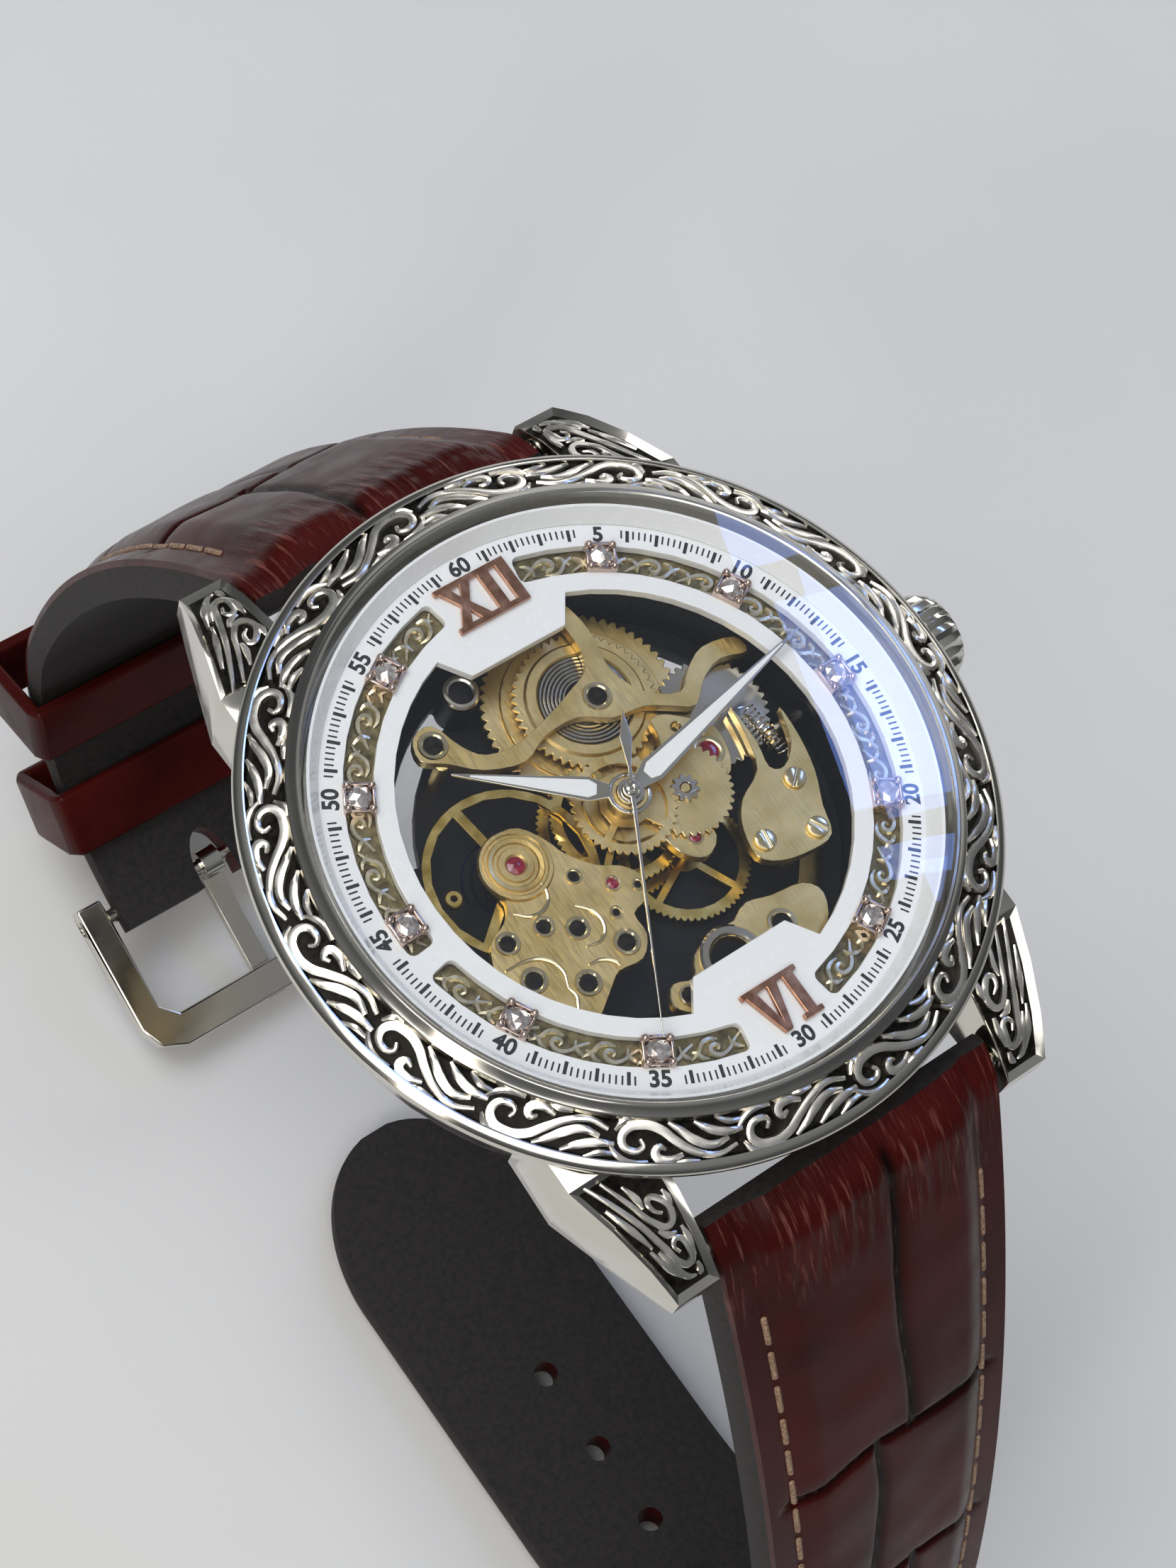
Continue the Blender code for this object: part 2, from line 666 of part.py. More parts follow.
barrel_line = bearing(BARREL_AT, CENTRE_AT)
centre_pinion_phase = mesh_phase(barrel_line, BARREL_TEETH, 0.0, CENTRE_PINION_LEAVES)
drum_radius = BARREL_PITCH - DRUM_WALL_IN
drum_bottom = THIRD_Z + RUN
drum_top = CENTRE_Z - 2 * RUN
wheel_with_arbor(
    "mainspring_barrel",
    BARREL_AT,
    RATCHET_PITCH * 0.15,
    ARBOR_BOTTOM,
    ARBOR_TOP,
    [
        plate([circle(drum_radius, 36)], drum_bottom, drum_top),
        plate(
            [gear(BARREL_TEETH, BARREL_PITCH), circle(drum_radius - 0.1, 36)],
            DRIVE_Z + RUN,
            DRIVE_Z + 2 * WHEEL_THICK,
        ),
    ],
    BRASS,
)

# The seconds arbor runs up inside the centre wheel's tube
seconds_hub_top = SECONDS_HAND_Z + HAND_THICK
third_line = bearing(CENTRE_AT, THIRD_AT)
third_pinion_phase = mesh_phase(third_line, CENTRE_TEETH, 0.0, THIRD_PINION_LEAVES)
fourth_pinion_phase = mesh_phase(third_line + math.pi, THIRD_TEETH, 0.0, FOURTH_PINION_LEAVES)
escape_line = bearing(CENTRE_AT, ESCAPE_AT)
escape_pinion_phase = mesh_phase(escape_line, FOURTH_TEETH, 0.0, ESCAPE_PINION_LEAVES)
fourth_windows = spoke_windows(4, 1.0, FOURTH_PITCH - 0.6, 0.4, 13.0)
wheel_with_arbor(
    "fourth_wheel",
    CENTRE_AT,
    FOURTH_ARBOR,
    ARBOR_BOTTOM,
    SECONDS_HAND_Z - SEAT,
    [
        plate([gear(FOURTH_TEETH, FOURTH_PITCH)] + fourth_windows, FOURTH_Z, FOURTH_Z + WHEEL_THICK),
        plate(
            [gear(FOURTH_PINION_LEAVES, FOURTH_PINION_PITCH, fourth_pinion_phase)],
            THIRD_Z - RUN,
            THIRD_Z + PINION_THICK,
        ),
    ],
    GOLD,
)

third_windows = spoke_windows(4, 0.9, THIRD_PITCH - 0.6, 0.4, 27.0)
wheel_with_arbor(
    "third_wheel",
    THIRD_AT,
    WHEEL_ARBOR,
    FOURTH_Z + WHEEL_THICK + RUN,
    PIVOT_TOP,
    [
        plate([gear(THIRD_TEETH, THIRD_PITCH)] + third_windows, THIRD_Z, THIRD_Z + WHEEL_THICK),
        plate(
            [gear(THIRD_PINION_LEAVES, THIRD_PINION_PITCH, third_pinion_phase)],
            CENTRE_Z - RUN,
            CENTRE_Z + PINION_THICK,
        ),
    ],
    GOLD,
)

# The centre wheel is a tube with a wheel and a pinion on it
centre_bottom = DRIVE_Z
centre_tube = plate([circle(CENTRE_TUBE), circle(CENTRE_BORE)], centre_bottom, MINUTE_HAND_Z + HAND_THICK)
centre_wheel = solid("centre_wheel", centre_tube, GOLD)
wall_middle = (CENTRE_BORE + CENTRE_TUBE) / 2
centre_gear = [gear(CENTRE_TEETH, CENTRE_PITCH), circle(wall_middle)] + spoke_windows(
    5, 1.2, CENTRE_PITCH - 0.6, 0.4, 7.0
)
centre_pinion = [gear(CENTRE_PINION_LEAVES, CENTRE_PINION_PITCH, centre_pinion_phase), circle(wall_middle)]
add(
    centre_wheel,
    merged(
        [
            plate(centre_gear, CENTRE_Z, CENTRE_Z + WHEEL_THICK),
            plate(centre_pinion, DRIVE_Z + RUN, DRIVE_Z + 2 * WHEEL_THICK + RUN),
        ]
    ),
)

escape_teeth = []
for i in range(ESCAPE_TEETH):
    angle = math.tau * i / ESCAPE_TEETH
    for radius, lead in ((ESCAPE_RADIUS, 0.0), (ESCAPE_RADIUS * 0.74, 0.07), (ESCAPE_RADIUS * 0.74, 0.3)):
        escape_teeth.append((radius * math.cos(angle + lead), radius * math.sin(angle + lead)))
escape_wheel_shape = plate(
    [escape_teeth] + spoke_windows(4, 0.45, ESCAPE_RADIUS * 0.58, 0.25, 19.0),
    ESCAPE_Z,
    ESCAPE_Z + WHEEL_THICK,
)
escape_pinion = gear(ESCAPE_PINION_LEAVES, ESCAPE_PINION_PITCH, escape_pinion_phase)
wheel_with_arbor(
    "escape_wheel",
    ESCAPE_AT,
    WHEEL_ARBOR,
    ARBOR_BOTTOM,
    PIVOT_TOP,
    [escape_wheel_shape, plate([escape_pinion], FOURTH_Z - RUN, FOURTH_Z + WHEEL_THICK + RUN)],
    STEEL,
)

# Pallet fork: two arms round the escape wheel and a lever towards the balance staff
# Its arbor ends under the balance

to_balance = bearing(ESCAPE_AT, BALANCE_AT)
PALLET_AT = (
    ESCAPE_AT[0] + PALLET_REACH * math.cos(to_balance),
    ESCAPE_AT[1] + PALLET_REACH * math.sin(to_balance),
)
fork_length = distance(PALLET_AT, BALANCE_AT) - ROLLER_RADIUS - 0.45
arm_reach = PALLET_REACH - ESCAPE_RADIUS - 0.3
fork_half = [
    (fork_length, 0.14),
    (fork_length - 0.35, 0.34),
    (fork_length - 0.75, 0.14),
    (0.4, 0.18),
    (0.2, 1.1),
    (-arm_reach, 1.45),
    (-arm_reach, 1.1),
    (-0.15, 0.4),
]
fork_outline = fork_half + [(x, -y) for x, y in reversed(fork_half)]
pallet_arbor = rod(WHEEL_ARBOR, ARBOR_BOTTOM, TOP_LAYER_Z - RUN, 12)
pallet_fork = solid("pallet_fork", pallet_arbor, STEEL, (*PALLET_AT, 0.0), (0.0, 0.0, to_balance))
add(pallet_fork, plate([fork_outline], ESCAPE_Z, ESCAPE_Z + PALLET_THICK))

# Balance wheel with its roller, and the hairspring round its staff

balance_rim = [circle(BALANCE_RADIUS, 40)] + spoke_windows(
    3, 0.9, BALANCE_RADIUS - BALANCE_RIM, BALANCE_SPOKE, 98.0
)
wheel_with_arbor(
    "balance_wheel",
    BALANCE_AT,
    WHEEL_ARBOR,
    ARBOR_BOTTOM,
    PIVOT_TOP,
    [
        plate(balance_rim, TOP_LAYER_Z, TOP_LAYER_Z + WHEEL_THICK),
        rod(ROLLER_RADIUS, ESCAPE_Z, ESCAPE_Z + WHEEL_THICK, 16),
    ],
    GOLD,
)


def hairspring_point(turn, offset):
    radius = HAIRSPRING_INNER + HAIRSPRING_PITCH * turn + offset
    return radius * math.cos(math.tau * turn), radius * math.sin(math.tau * turn)


spring_bottom = DRIVE_Z + RUN
spring_rings = []
spring_steps = round(HAIRSPRING_TURNS * 20)
for i in range(spring_steps + 1):
    turn = HAIRSPRING_TURNS * i / spring_steps
    inner_point = hairspring_point(turn, -HAIRSPRING_STRIP / 2)
    outer_point = hairspring_point(turn, HAIRSPRING_STRIP / 2)
    corners = (
        (inner_point, 0.0),
        (outer_point, 0.0),
        (outer_point, HAIRSPRING_HEIGHT),
        (inner_point, HAIRSPRING_HEIGHT),
    )
    spring_rings.append([(*point, spring_bottom + rise) for point, rise in corners])
solid("hairspring", loft(spring_rings), BLUE, (*BALANCE_AT, 0.0))
outer_edge = [Vector(ring[1][:2]) for ring in spring_rings]
inner_edge = [Vector(ring[0][:2]) for ring in spring_rings]
spring_gap = min(
    (a - b).length for i, a in enumerate(outer_edge) for j, b in enumerate(inner_edge) if abs(i - j) > 10
)
print(f"hairspring: least gap between its turns {spring_gap:.2f} mm")

# Winding work: ratchet wheel on the barrel arbor, crown wheel beside it

ratchet_line = bearing(BARREL_AT, CROWN_WHEEL_AT)
crown_wheel_phase = mesh_phase(ratchet_line, RATCHET_TEETH, 0.0, CROWN_WHEEL_TEETH)
ratchet_loops = [gear(RATCHET_TEETH, RATCHET_PITCH), circle(RATCHET_PITCH * 0.15 + RUN, 16)]
solid("ratchet_wheel", plate(ratchet_loops, TOP_LAYER_Z, TOP_LAYER_Z + WHEEL_THICK), STEEL, (*BARREL_AT, 0.0))
crown_wheel = solid(
    "crown_wheel",
    plate(
        [gear(CROWN_WHEEL_TEETH, CROWN_WHEEL_PITCH, crown_wheel_phase)],
        TOP_LAYER_Z,
        TOP_LAYER_Z + WHEEL_THICK,
    ),
    STEEL,
    (*CROWN_WHEEL_AT, 0.0),
)
add(crown_wheel, rod(0.5, TOP_LAYER_Z + RUN, ARBOR_TOP, 16))

# Crown, stem with its winding pinion, and the tube in the case wall

flank_at_stem = CASE_FOOT + 0.7 * (CASE_RADIUS - CASE_FOOT)
CROWN_BOTTOM = flank_at_stem + CROWN_GAP
tube_profile = [
    (TUBE_BORE, CROWN_BOTTOM - RUN),
    (TUBE_BORE, CASE_BORE),
    (TUBE_RADIUS, CASE_BORE),
    (TUBE_RADIUS, CROWN_BOTTOM - RUN),
]
solid("crown_tube", along_x(turned(tube_profile, FEW_FACETS)), STEEL, (0.0, 0.0, STEM_HEIGHT))

stem = solid(
    "stem",
    along_x(rod(STEM_RADIUS, WINDING_PINION_AT - WINDING_PINION_WIDTH, CROWN_BOTTOM + STEM_IN_CROWN, 16)),
    STEEL,
    (0.0, 0.0, STEM_HEIGHT),
)
winding_leaves = gear(WINDING_PINION_LEAVES, WINDING_PINION_RADIUS)
half_pinion = WINDING_PINION_WIDTH / 2
add(stem, along_x(plate([winding_leaves], WINDING_PINION_AT - half_pinion, WINDING_PINION_AT + half_pinion)))


def crown_ring(radius, height, flute):
    """A ring of the crown; every second point lies in a flute."""
    points = []
    for i in range(2 * CROWN_FLUTES):
        angle = math.pi * i / CROWN_FLUTES
        reach = radius - flute * (i % 2)
        points.append((reach * math.cos(angle), reach * math.sin(angle), height))
    return points


crown_bore = STEM_RADIUS + RUN
crown_rings = [
    crown_ring(crown_bore, CROWN_BOTTOM + STEM_IN_CROWN + RUN, 0.0),
    crown_ring(crown_bore, CROWN_BOTTOM, 0.0),
    crown_ring(CROWN_RADIUS * 0.82, CROWN_BOTTOM, 0.0),
    crown_ring(CROWN_RADIUS, CROWN_BOTTOM + 0.12 * CROWN_LENGTH, 0.22),
    crown_ring(CROWN_RADIUS, CROWN_BOTTOM + 0.62 * CROWN_LENGTH, 0.22),
    crown_ring(CROWN_RADIUS * 0.86, CROWN_BOTTOM + 0.84 * CROWN_LENGTH, 0.08),
    crown_ring(CROWN_RADIUS * 0.45, CROWN_BOTTOM + CROWN_LENGTH, 0.0),
]
solid("crown", along_x(loft(crown_rings)), STEEL, (0.0, 0.0, STEM_HEIGHT))

# Bridges on the dial side, each on its feet


def bridge(name, outline, openings, feet, material=BRASS):
    """A bridge plate with a foot down to the main plate at each place given."""
    loops = [smooth_loop(outline)] + [circle(radius, 16, at) for *at, radius in openings]
    piece = solid(name, plate(loops, BRIDGE_BOTTOM, BRIDGE_TOP), material)
    sunk = BRIDGE_BOTTOM + BRIDGE_THICK / 3
    add(piece, merged([rod(FOOT_RADIUS, PLATE_TOP + SEAT, sunk, 12, at) for at in feet]))
    return piece


barrel_boss = (2.7, 6.1, 0.55)
left_arm_boss = (-6.8, 8.2, 0.55)
barrel_outline = [
    (3.5, 12.0), (4.3, 11.9), (4.7, 9.6), (4.3, 7.2), (5.1, 5.1), (6.9, 4.0), (8.1, 4.9), (9.6, 5.6), (
        11.6, 5.2
    ),
    (11.7, 4.1), (10.1, 4.5), (8.6, 4.0), (7.2, 2.9), (6.0, 3.5), (4.6, 4.3), (2.7, 4.6), (1.0, 5.6), (
        -1.2, 5.6
    ),
    (-3.0, 4.9), (-5.2, 5.6), (-6.7, 6.9), (-7.9, 7.8), (-7.5, 9.1), (-6.2, 9.2), (-5.5, 7.4), (-4.6, 6.3),
    (-2.6, 6.0), (0.0, 6.6), (1.5, 7.1), (3.1, 7.8), (3.6, 9.4),
]
bridge("barrel_bridge", barrel_outline, [barrel_boss, left_arm_boss], [(11.1, 4.7), (-6.8, 7.2)])

third_bearing = (*THIRD_AT, PIVOT_HOLE)
centre_hole = (*CENTRE_AT, CANNON_TUBE + 0.3)
centre_outline = [
    (4.4, 3.4), (5.2, 3.4), (6.1, 2.7), (6.6, 2.2), (7.3, 1.3), (7.2, 0.0), (6.5, -1.3), (4.9, -1.7), (
        3.7, -2.2
    ),
    (3.5, -4.0), (2.3, -4.7), (1.2, -3.8), (0.7, -2.3), (-1.0, -1.8), (-2.0, -0.4), (-1.7, 1.3), (-0.2, 2.0),
    (1.9, 1.7), (3.6, 1.5), (4.2, 2.4),
]
centre_bridge = bridge(
    "centre_bridge",
    centre_outline,
    [centre_hole, third_bearing, (6.1, 0.3, 0.6), (5.4, 2.4, SCREW_RADIUS)],
    [(6.0, -0.7)],
)
minute_post = FOOT_RADIUS * 0.7
post_top = HOUR_WHEEL_Z + MOTION_THICK
add(centre_bridge, rod(minute_post, BRIDGE_TOP - BRIDGE_THICK / 2, post_top, 12, MINUTE_WHEEL_AT))

keyless_screws = [(9.3, -3.5), (5.6, -5.6), (8.6, -6.5)]
keyless_outline = [
    (8.8, 1.8), (8.5, 0.0), (7.8, -2.0), (6.0, -3.0), (5.0, -4.4), (4.7, -6.1), (5.7, -7.0), (7.6, -7.4), (
        9.1, -7.2
    ),
    (9.7, -5.6), (10.6, -3.7), (11.1, -1.6), (11.2, 0.4), (10.5, -1.6), (9.3, -2.6), (8.5, -2.2), (8.8, -0.6),
]
screw_holes = [(*at, SCREW_RADIUS + RUN) for at in keyless_screws]
keyless_feet = [(8.4, -4.6), (7.4, -6.5)]
bridge("keyless_plate", keyless_outline, screw_holes, keyless_feet)

for number, at in enumerate(keyless_screws, start=1):
    head_bottom = BRIDGE_TOP + SEAT
    screw_profile = [
        (0.0, head_bottom + SCREW_HEAD_THICK),
        (0.0, BRIDGE_BOTTOM),
        (SCREW_RADIUS, BRIDGE_BOTTOM),
        (SCREW_RADIUS, head_bottom),
        (SCREW_HEAD_RADIUS, head_bottom),
        (SCREW_HEAD_RADIUS, head_bottom + SCREW_HEAD_THICK),
    ]
    screw = solid(
        f"keyless_screw_{number}", turned(screw_profile, 16), STEEL, (*at, 0.0), (0.0, 0.0, 0.7 * number)
    )
    half_slot = SCREW_SLOT / 2
    slot = [(-1.0, -half_slot), (1.0, -half_slot), (1.0, half_slot), (-1.0, half_slot)]
    slot_floor = head_bottom + SCREW_HEAD_THICK / 2
    cut(screw, plate([slot], slot_floor, slot_floor + SCREW_HEAD_THICK))

lower_outline = [
    (1.3, -8.4), (2.5, -7.9), (4.0, -8.3), (5.9, -8.6), (6.6, -9.7), (5.6, -11.3), (3.2, -11.9), (0.5, -12.2),
    (-1.9, -12.0), (-3.6, -11.6), (-4.4, -10.6), (-3.7, -9.6), (-2.5, -9.9), (-1.7, -8.9), (-0.1, -8.3),
]
bridge(
    "lower_plate",
    lower_outline,
    [(0.0, -10.1, 1.2), (3.5, -9.9, 0.55), (-3.3, -10.6, 0.4)],
    [(5.2, -9.9), (-2.2, -11.3)],
)

train_outline = [
    (-5.6, 1.9), (-4.7, 0.5), (-4.3, -0.6), (-3.2, -2.0), (-2.1, -2.7), (-1.5, -3.7), (-2.0, -4.9), (
        -3.1, -5.3
    ),
    (-3.2, -6.6), (-4.2, -7.6), (-5.7, -7.5), (-6.7, -8.1), (-8.4, -9.1), (-9.7, -8.0), (-11.0, -6.2), (
        -11.4, -4.4
    ),
    (-10.7, -2.8), (-9.3, -2.1), (-8.6, -1.2), (-8.8, 0.2), (-8.3, 1.5), (-7.0, 2.2),
]
train_openings = [
    (*BALANCE_AT, PIVOT_HOLE), (*PALLET_AT, PIVOT_HOLE), (*ESCAPE_AT, PIVOT_HOLE), (-9.9, -3.2, 0.45),
    (-7.7, -3.4, 0.4), (-6.2, -4.4, 0.45), (-4.4, -6.4, 0.5), (-9.9, -5.6, 0.5), (-7.5, -7.2, 0.5),
]
bridge("train_bridge", train_outline, train_openings, [(-8.5, -8.3), (-5.2, -7.0)])

# Motion work: cannon pinion, minute wheel and hour wheel

cannon_phase = 0.0
cannon = solid(
    "cannon_pinion",
    plate([circle(CANNON_TUBE), circle(CANNON_BORE)], BRIDGE_TOP + RUN, MINUTE_HAND_Z - SEAT),
    STEEL,
)
cannon_ring = [gear(CANNON_LEAVES, CANNON_PITCH, cannon_phase), circle((CANNON_BORE + CANNON_TUBE) / 2)]
add(cannon, plate(cannon_ring, MOTION_Z, MOTION_Z + MOTION_THICK))

minute_wheel_phase = mesh_phase(MINUTE_LINE, CANNON_LEAVES, cannon_phase, MINUTE_WHEEL_TEETH)
hour_phase = mesh_phase(MINUTE_LINE + math.pi, MINUTE_PINION_LEAVES, 0.0, HOUR_TEETH)
minute_bore = circle(minute_post + RUN, 12)
minute_loops = [gear(MINUTE_WHEEL_TEETH, MINUTE_WHEEL_PITCH, minute_wheel_phase), minute_bore]
minute_wheel = solid(
    "minute_wheel", plate(minute_loops, MOTION_Z, MOTION_Z + MOTION_THICK), GOLD, (*MINUTE_WHEEL_AT, 0.0)
)
minute_pinion = [gear(MINUTE_PINION_LEAVES, MINUTE_PINION_PITCH), minute_bore]
add(minute_wheel, plate(minute_pinion, MOTION_Z + MOTION_THICK / 2, HOUR_WHEEL_Z + MOTION_THICK))

hour_tube = plate([circle(HOUR_TUBE), circle(HOUR_BORE)], HOUR_WHEEL_Z, HOUR_HAND_Z + HAND_THICK)
hour_wheel = solid("hour_wheel", hour_tube, GOLD)
hour_ring = [gear(HOUR_TEETH, HOUR_PITCH, hour_phase), circle((HOUR_BORE + HOUR_TUBE) / 2)]
add(
    hour_wheel,
    plate(
        hour_ring + spoke_windows(4, 1.4, HOUR_PITCH - 0.5, 0.4, 31.0),
        HOUR_WHEEL_Z,
        HOUR_WHEEL_Z + MOTION_THICK,
    ),
)

# Dial: engraved ring plate, white ring with windows and pads, rehaut, stones and numerals

engraved_loops = [circle(INSIDE_CASE, FACETS), circle(ENGRAVED_INNER_RADIUS, FACETS)]
solid("engraved_plate", plate(engraved_loops, ENGRAVED_BOTTOM, ENGRAVED_BOTTOM + ENGRAVED_THICK), OLIVE)


def dial_inner_edge():
    """The dial's inner edge: a circle broken by a pad at twelve and a pad at six."""
    points = []
    for turn in (90.0, 270.0):
        edge = arc(DIAL_INNER_RADIUS, turn + PAD_ROOT_DEG - 180.0, turn - PAD_ROOT_DEG, 20)
        points += edge
        facing = math.radians(turn)
        for across in (1, -1):
            x = PAD_INNER * math.cos(facing) + across * PAD_HALF_WIDTH * math.sin(facing)
            y = PAD_INNER * math.sin(facing) - across * PAD_HALF_WIDTH * math.cos(facing)
            points.append((x, y))
    return points


def window_corner(end_deg, turn_in):
    """The rounded end of a window, from its outer side to its inner one; turn_in is the way back into it."""
    corner_deg = turn_in * math.degrees(WINDOW_CORNER / WINDOW_OUTER_RADIUS)
    outer_side, inner_side = [], []
    for slope_deg in (0.0, 30.0, 60.0, 90.0):
        slope = math.radians(slope_deg)
        angle = math.radians(end_deg + corner_deg * (1.0 - math.sin(slope)))
        drop = WINDOW_CORNER * (1.0 - math.cos(slope))
        for radius, side in (
            (WINDOW_OUTER_RADIUS - drop, outer_side), (WINDOW_INNER_RADIUS + drop, inner_side)
        ):
            side.append((radius * math.cos(angle), radius * math.sin(angle)))
    return outer_side + inner_side[::-1]


# One window on the right, and two on the left that part just below nine
NINE_DEG = 180.0
dial_windows = []
for start_deg, end_deg in [
    (-90.0 + WINDOW_END_DEG, 90.0 - WINDOW_END_DEG),
    (90.0 + WINDOW_END_DEG, NINE_DEG + 6.0),
    (NINE_DEG + 11.0, 270.0 - WINDOW_END_DEG),
]:
    count = round((end_deg - start_deg) / 7.0)
    reach = math.degrees(WINDOW_CORNER / WINDOW_OUTER_RADIUS)
    outer = arc(WINDOW_OUTER_RADIUS, start_deg + reach, end_deg - reach, count)
    inner = arc(WINDOW_INNER_RADIUS, end_deg - reach, start_deg + reach, count)
    far_end = window_corner(end_deg, -1)
    near_end = window_corner(start_deg, 1)[::-1]
    dial_windows.append(outer[:-1] + far_end[:-1] + inner[:-1] + near_end[:-1])
solid(
    "dial_ring",
    plate([circle(INSIDE_CASE, FACETS), dial_inner_edge()] + dial_windows, DIAL_BOTTOM, DIAL_TOP),
    WHITE,
)

rehaut_profile = [
    (INSIDE_CASE - REHAUT_WALL / 2, REHAUT_BOTTOM + REHAUT_HEIGHT),
    (REHAUT_INNER_RADIUS, REHAUT_BOTTOM),
    (INSIDE_CASE, REHAUT_BOTTOM),
    (INSIDE_CASE, REHAUT_BOTTOM + REHAUT_HEIGHT),
]
solid("rehaut", turned(rehaut_profile), WHITE)


def square_ring(size, height):
    half = size / 2
    return [(-half, -half, height), (half, -half, height), (half, half, height), (-half, half, height)]


stone_bottom = ENGRAVED_BOTTOM + ENGRAVED_THICK + SEAT
stone_seat = DIAL_TOP + SEAT
stone_rings = [
    square_ring(STONE_LEG, stone_bottom),
    square_ring(STONE_LEG, stone_seat),
    square_ring(STONE_SIZE, stone_seat),
    square_ring(STONE_SIZE, stone_seat + 0.6 * STONE_RISE),
    square_ring(STONE_SIZE * 0.6, stone_seat + STONE_RISE),
]
for hour in (1, 2, 3, 4, 5, 7, 8, 9, 10, 11):
    clock = math.radians(30.0 * hour)
    place = (STONE_CIRCLE * math.sin(clock), STONE_CIRCLE * math.cos(clock), 0.0)
    solid(f"stone_index_{hour:02d}", loft(stone_rings), STONE, place, (0.0, 0.0, -clock))

# The strokes of each applied numeral share one bar along the top or along both ends
tall = NUMERAL_HEIGHT
bar = 0.32
low = bar
high = tall - bar
twelve = [
    [
        (0.0, 0.0),
        (3.6, 0.0),
        (3.6, tall),
        (0.0, tall),
        (0.0, high),
        (0.2, high),
        (0.72, tall / 2),
        (0.2, low),
        (0.0, low),
    ],
    [(0.72, high), (0.97, tall / 2 + 0.42), (1.22, high)],
    [(0.72, low), (1.22, low), (0.97, tall / 2 - 0.42)],
    [(1.74, high), (2.15, high), (2.15, low), (1.74, low), (1.2, tall / 2)],
    [(2.68, low), (3.08, low), (3.08, high), (2.68, high)],
]
six = [
    [
        (0.0, tall), (0.0, high), (0.2, high), (0.8, 0.0), (1.2, 0.0), (1.78, high), (2.08, high), (
            2.08, low
        ),
        (1.84, low), (1.84, 0.0), (2.86, 0.0), (2.86, low), (2.62, low), (2.62, high), (2.86, high), (
            2.86, tall
        ),
    ],
    [(0.74, high), (1.0, 0.8), (1.26, high)],
]
numeral_bottom = DIAL_TOP + SEAT


def numeral(name, loops, width, middle_y):
    across = NUMERAL_STRETCH
    centred = [[(across * (x - width / 2), y - tall / 2 + middle_y) for x, y in loop] for loop in loops]
    solid(name, plate(centred, numeral_bottom, numeral_bottom + NUMERAL_THICK), ROSE)


numeral("numeral_xii", twelve, 3.6, NUMERAL_CIRCLE)
numeral("numeral_vi", six, 2.86, -NUMERAL_CIRCLE)

# Hands


def hand_outline(length, hub, neck, shoulder, shoulder_at):
    """A tapered hand along +Y: a round hub, a narrow neck, a wide shoulder and a fine tip."""
    half = math.degrees(math.asin(neck / hub))
    outline = arc(hub, 90.0 + half, 450.0 - half, 16)
    outline += [(shoulder, shoulder_at), (0.05, length), (-0.05, length), (-shoulder, shoulder_at)]
    return outline


def hand(name, outline, bore, height, clock_deg):
    loops = [outline] + ([circle(bore)] if bore else [])
    turn = (0.0, 0.0, -math.radians(clock_deg))
    solid(name, plate(loops, height, height + HAND_THICK), STEEL, (0.0, 0.0, 0.0), turn)


hour_outline = hand_outline(HOUR_LENGTH, HOUR_TUBE + HUB_RIM, 0.4, 0.72, 2.2)
hand("hour_hand", hour_outline, HOUR_TUBE + SEAT, HOUR_HAND_Z, HOUR_CLOCK_DEG)
minute_outline = hand_outline(MINUTE_LENGTH, CENTRE_TUBE + HUB_RIM, 0.35, 0.72, 1.8)
hand("minute_hand", minute_outline, CENTRE_TUBE + SEAT, MINUTE_HAND_Z, MINUTE_CLOCK_DEG)
needle = arc(SECONDS_HUB, 105.0, 255.0, 8)
needle += [(-0.08, -1.2), (-0.34, -3.0), (0.0, -SECONDS_TAIL), (0.34, -3.0), (0.08, -1.2)]
needle += arc(SECONDS_HUB, -75.0, 75.0, 8)
needle += [(0.1, 1.5), (0.03, SECONDS_LENGTH), (-0.03, SECONDS_LENGTH), (-0.1, 1.5)]
hand("seconds_hand", needle, 0.0, SECONDS_HAND_Z, SECONDS_CLOCK_DEG)

# Spring bars between the lugs

half_bar = LUG_GAP / 2 - 2 * RUN
bar_profile = [
    (0.0, half_bar + BAR_TIP_LENGTH - RUN),
    (0.0, -half_bar - BAR_TIP_LENGTH + RUN),
    (BAR_TIP_RADIUS, -half_bar - BAR_TIP_LENGTH + RUN),
    (BAR_TIP_RADIUS, -half_bar),
    (BAR_RADIUS, -half_bar),
    (BAR_RADIUS, half_bar),
    (BAR_TIP_RADIUS, half_bar),
    (BAR_TIP_RADIUS, half_bar + BAR_TIP_LENGTH - RUN),
]
for name, side in (("spring_bar_12", 1), ("spring_bar_6", -1)):
    solid(name, along_x(turned(bar_profile, 12)), STEEL, (0.0, side * BAR_REACH, BAR_HEIGHT))

# Strap: each half leaves its spring bar downwards and curls in towards its end

STRAP_WIDTH = LUG_GAP - 2 * STRAP_CLEAR
SHORT_CURL = SHORT_LENGTH - STRAP_RUN
FIXED_KEEPER_AT = SHORT_LENGTH - FIXED_KEEPER_FROM_END
FREE_KEEPER_AT = FIXED_KEEPER_AT - KEEPER_APART
LONG_REST = LONG_LENGTH - STRAP_RUN - LONG_CURL
SHORT_PATH = (SHORT_LEAVE_DEG, [(STRAP_RUN, SHORT_RUN_DEG), (SHORT_CURL, SHORT_CURL_DEG)])
LONG_PATH = (LONG_LEAVE_DEG, [(STRAP_RUN, LONG_RUN_DEG), (LONG_CURL, LONG_CURL_DEG), (LONG_REST, 0.0)])


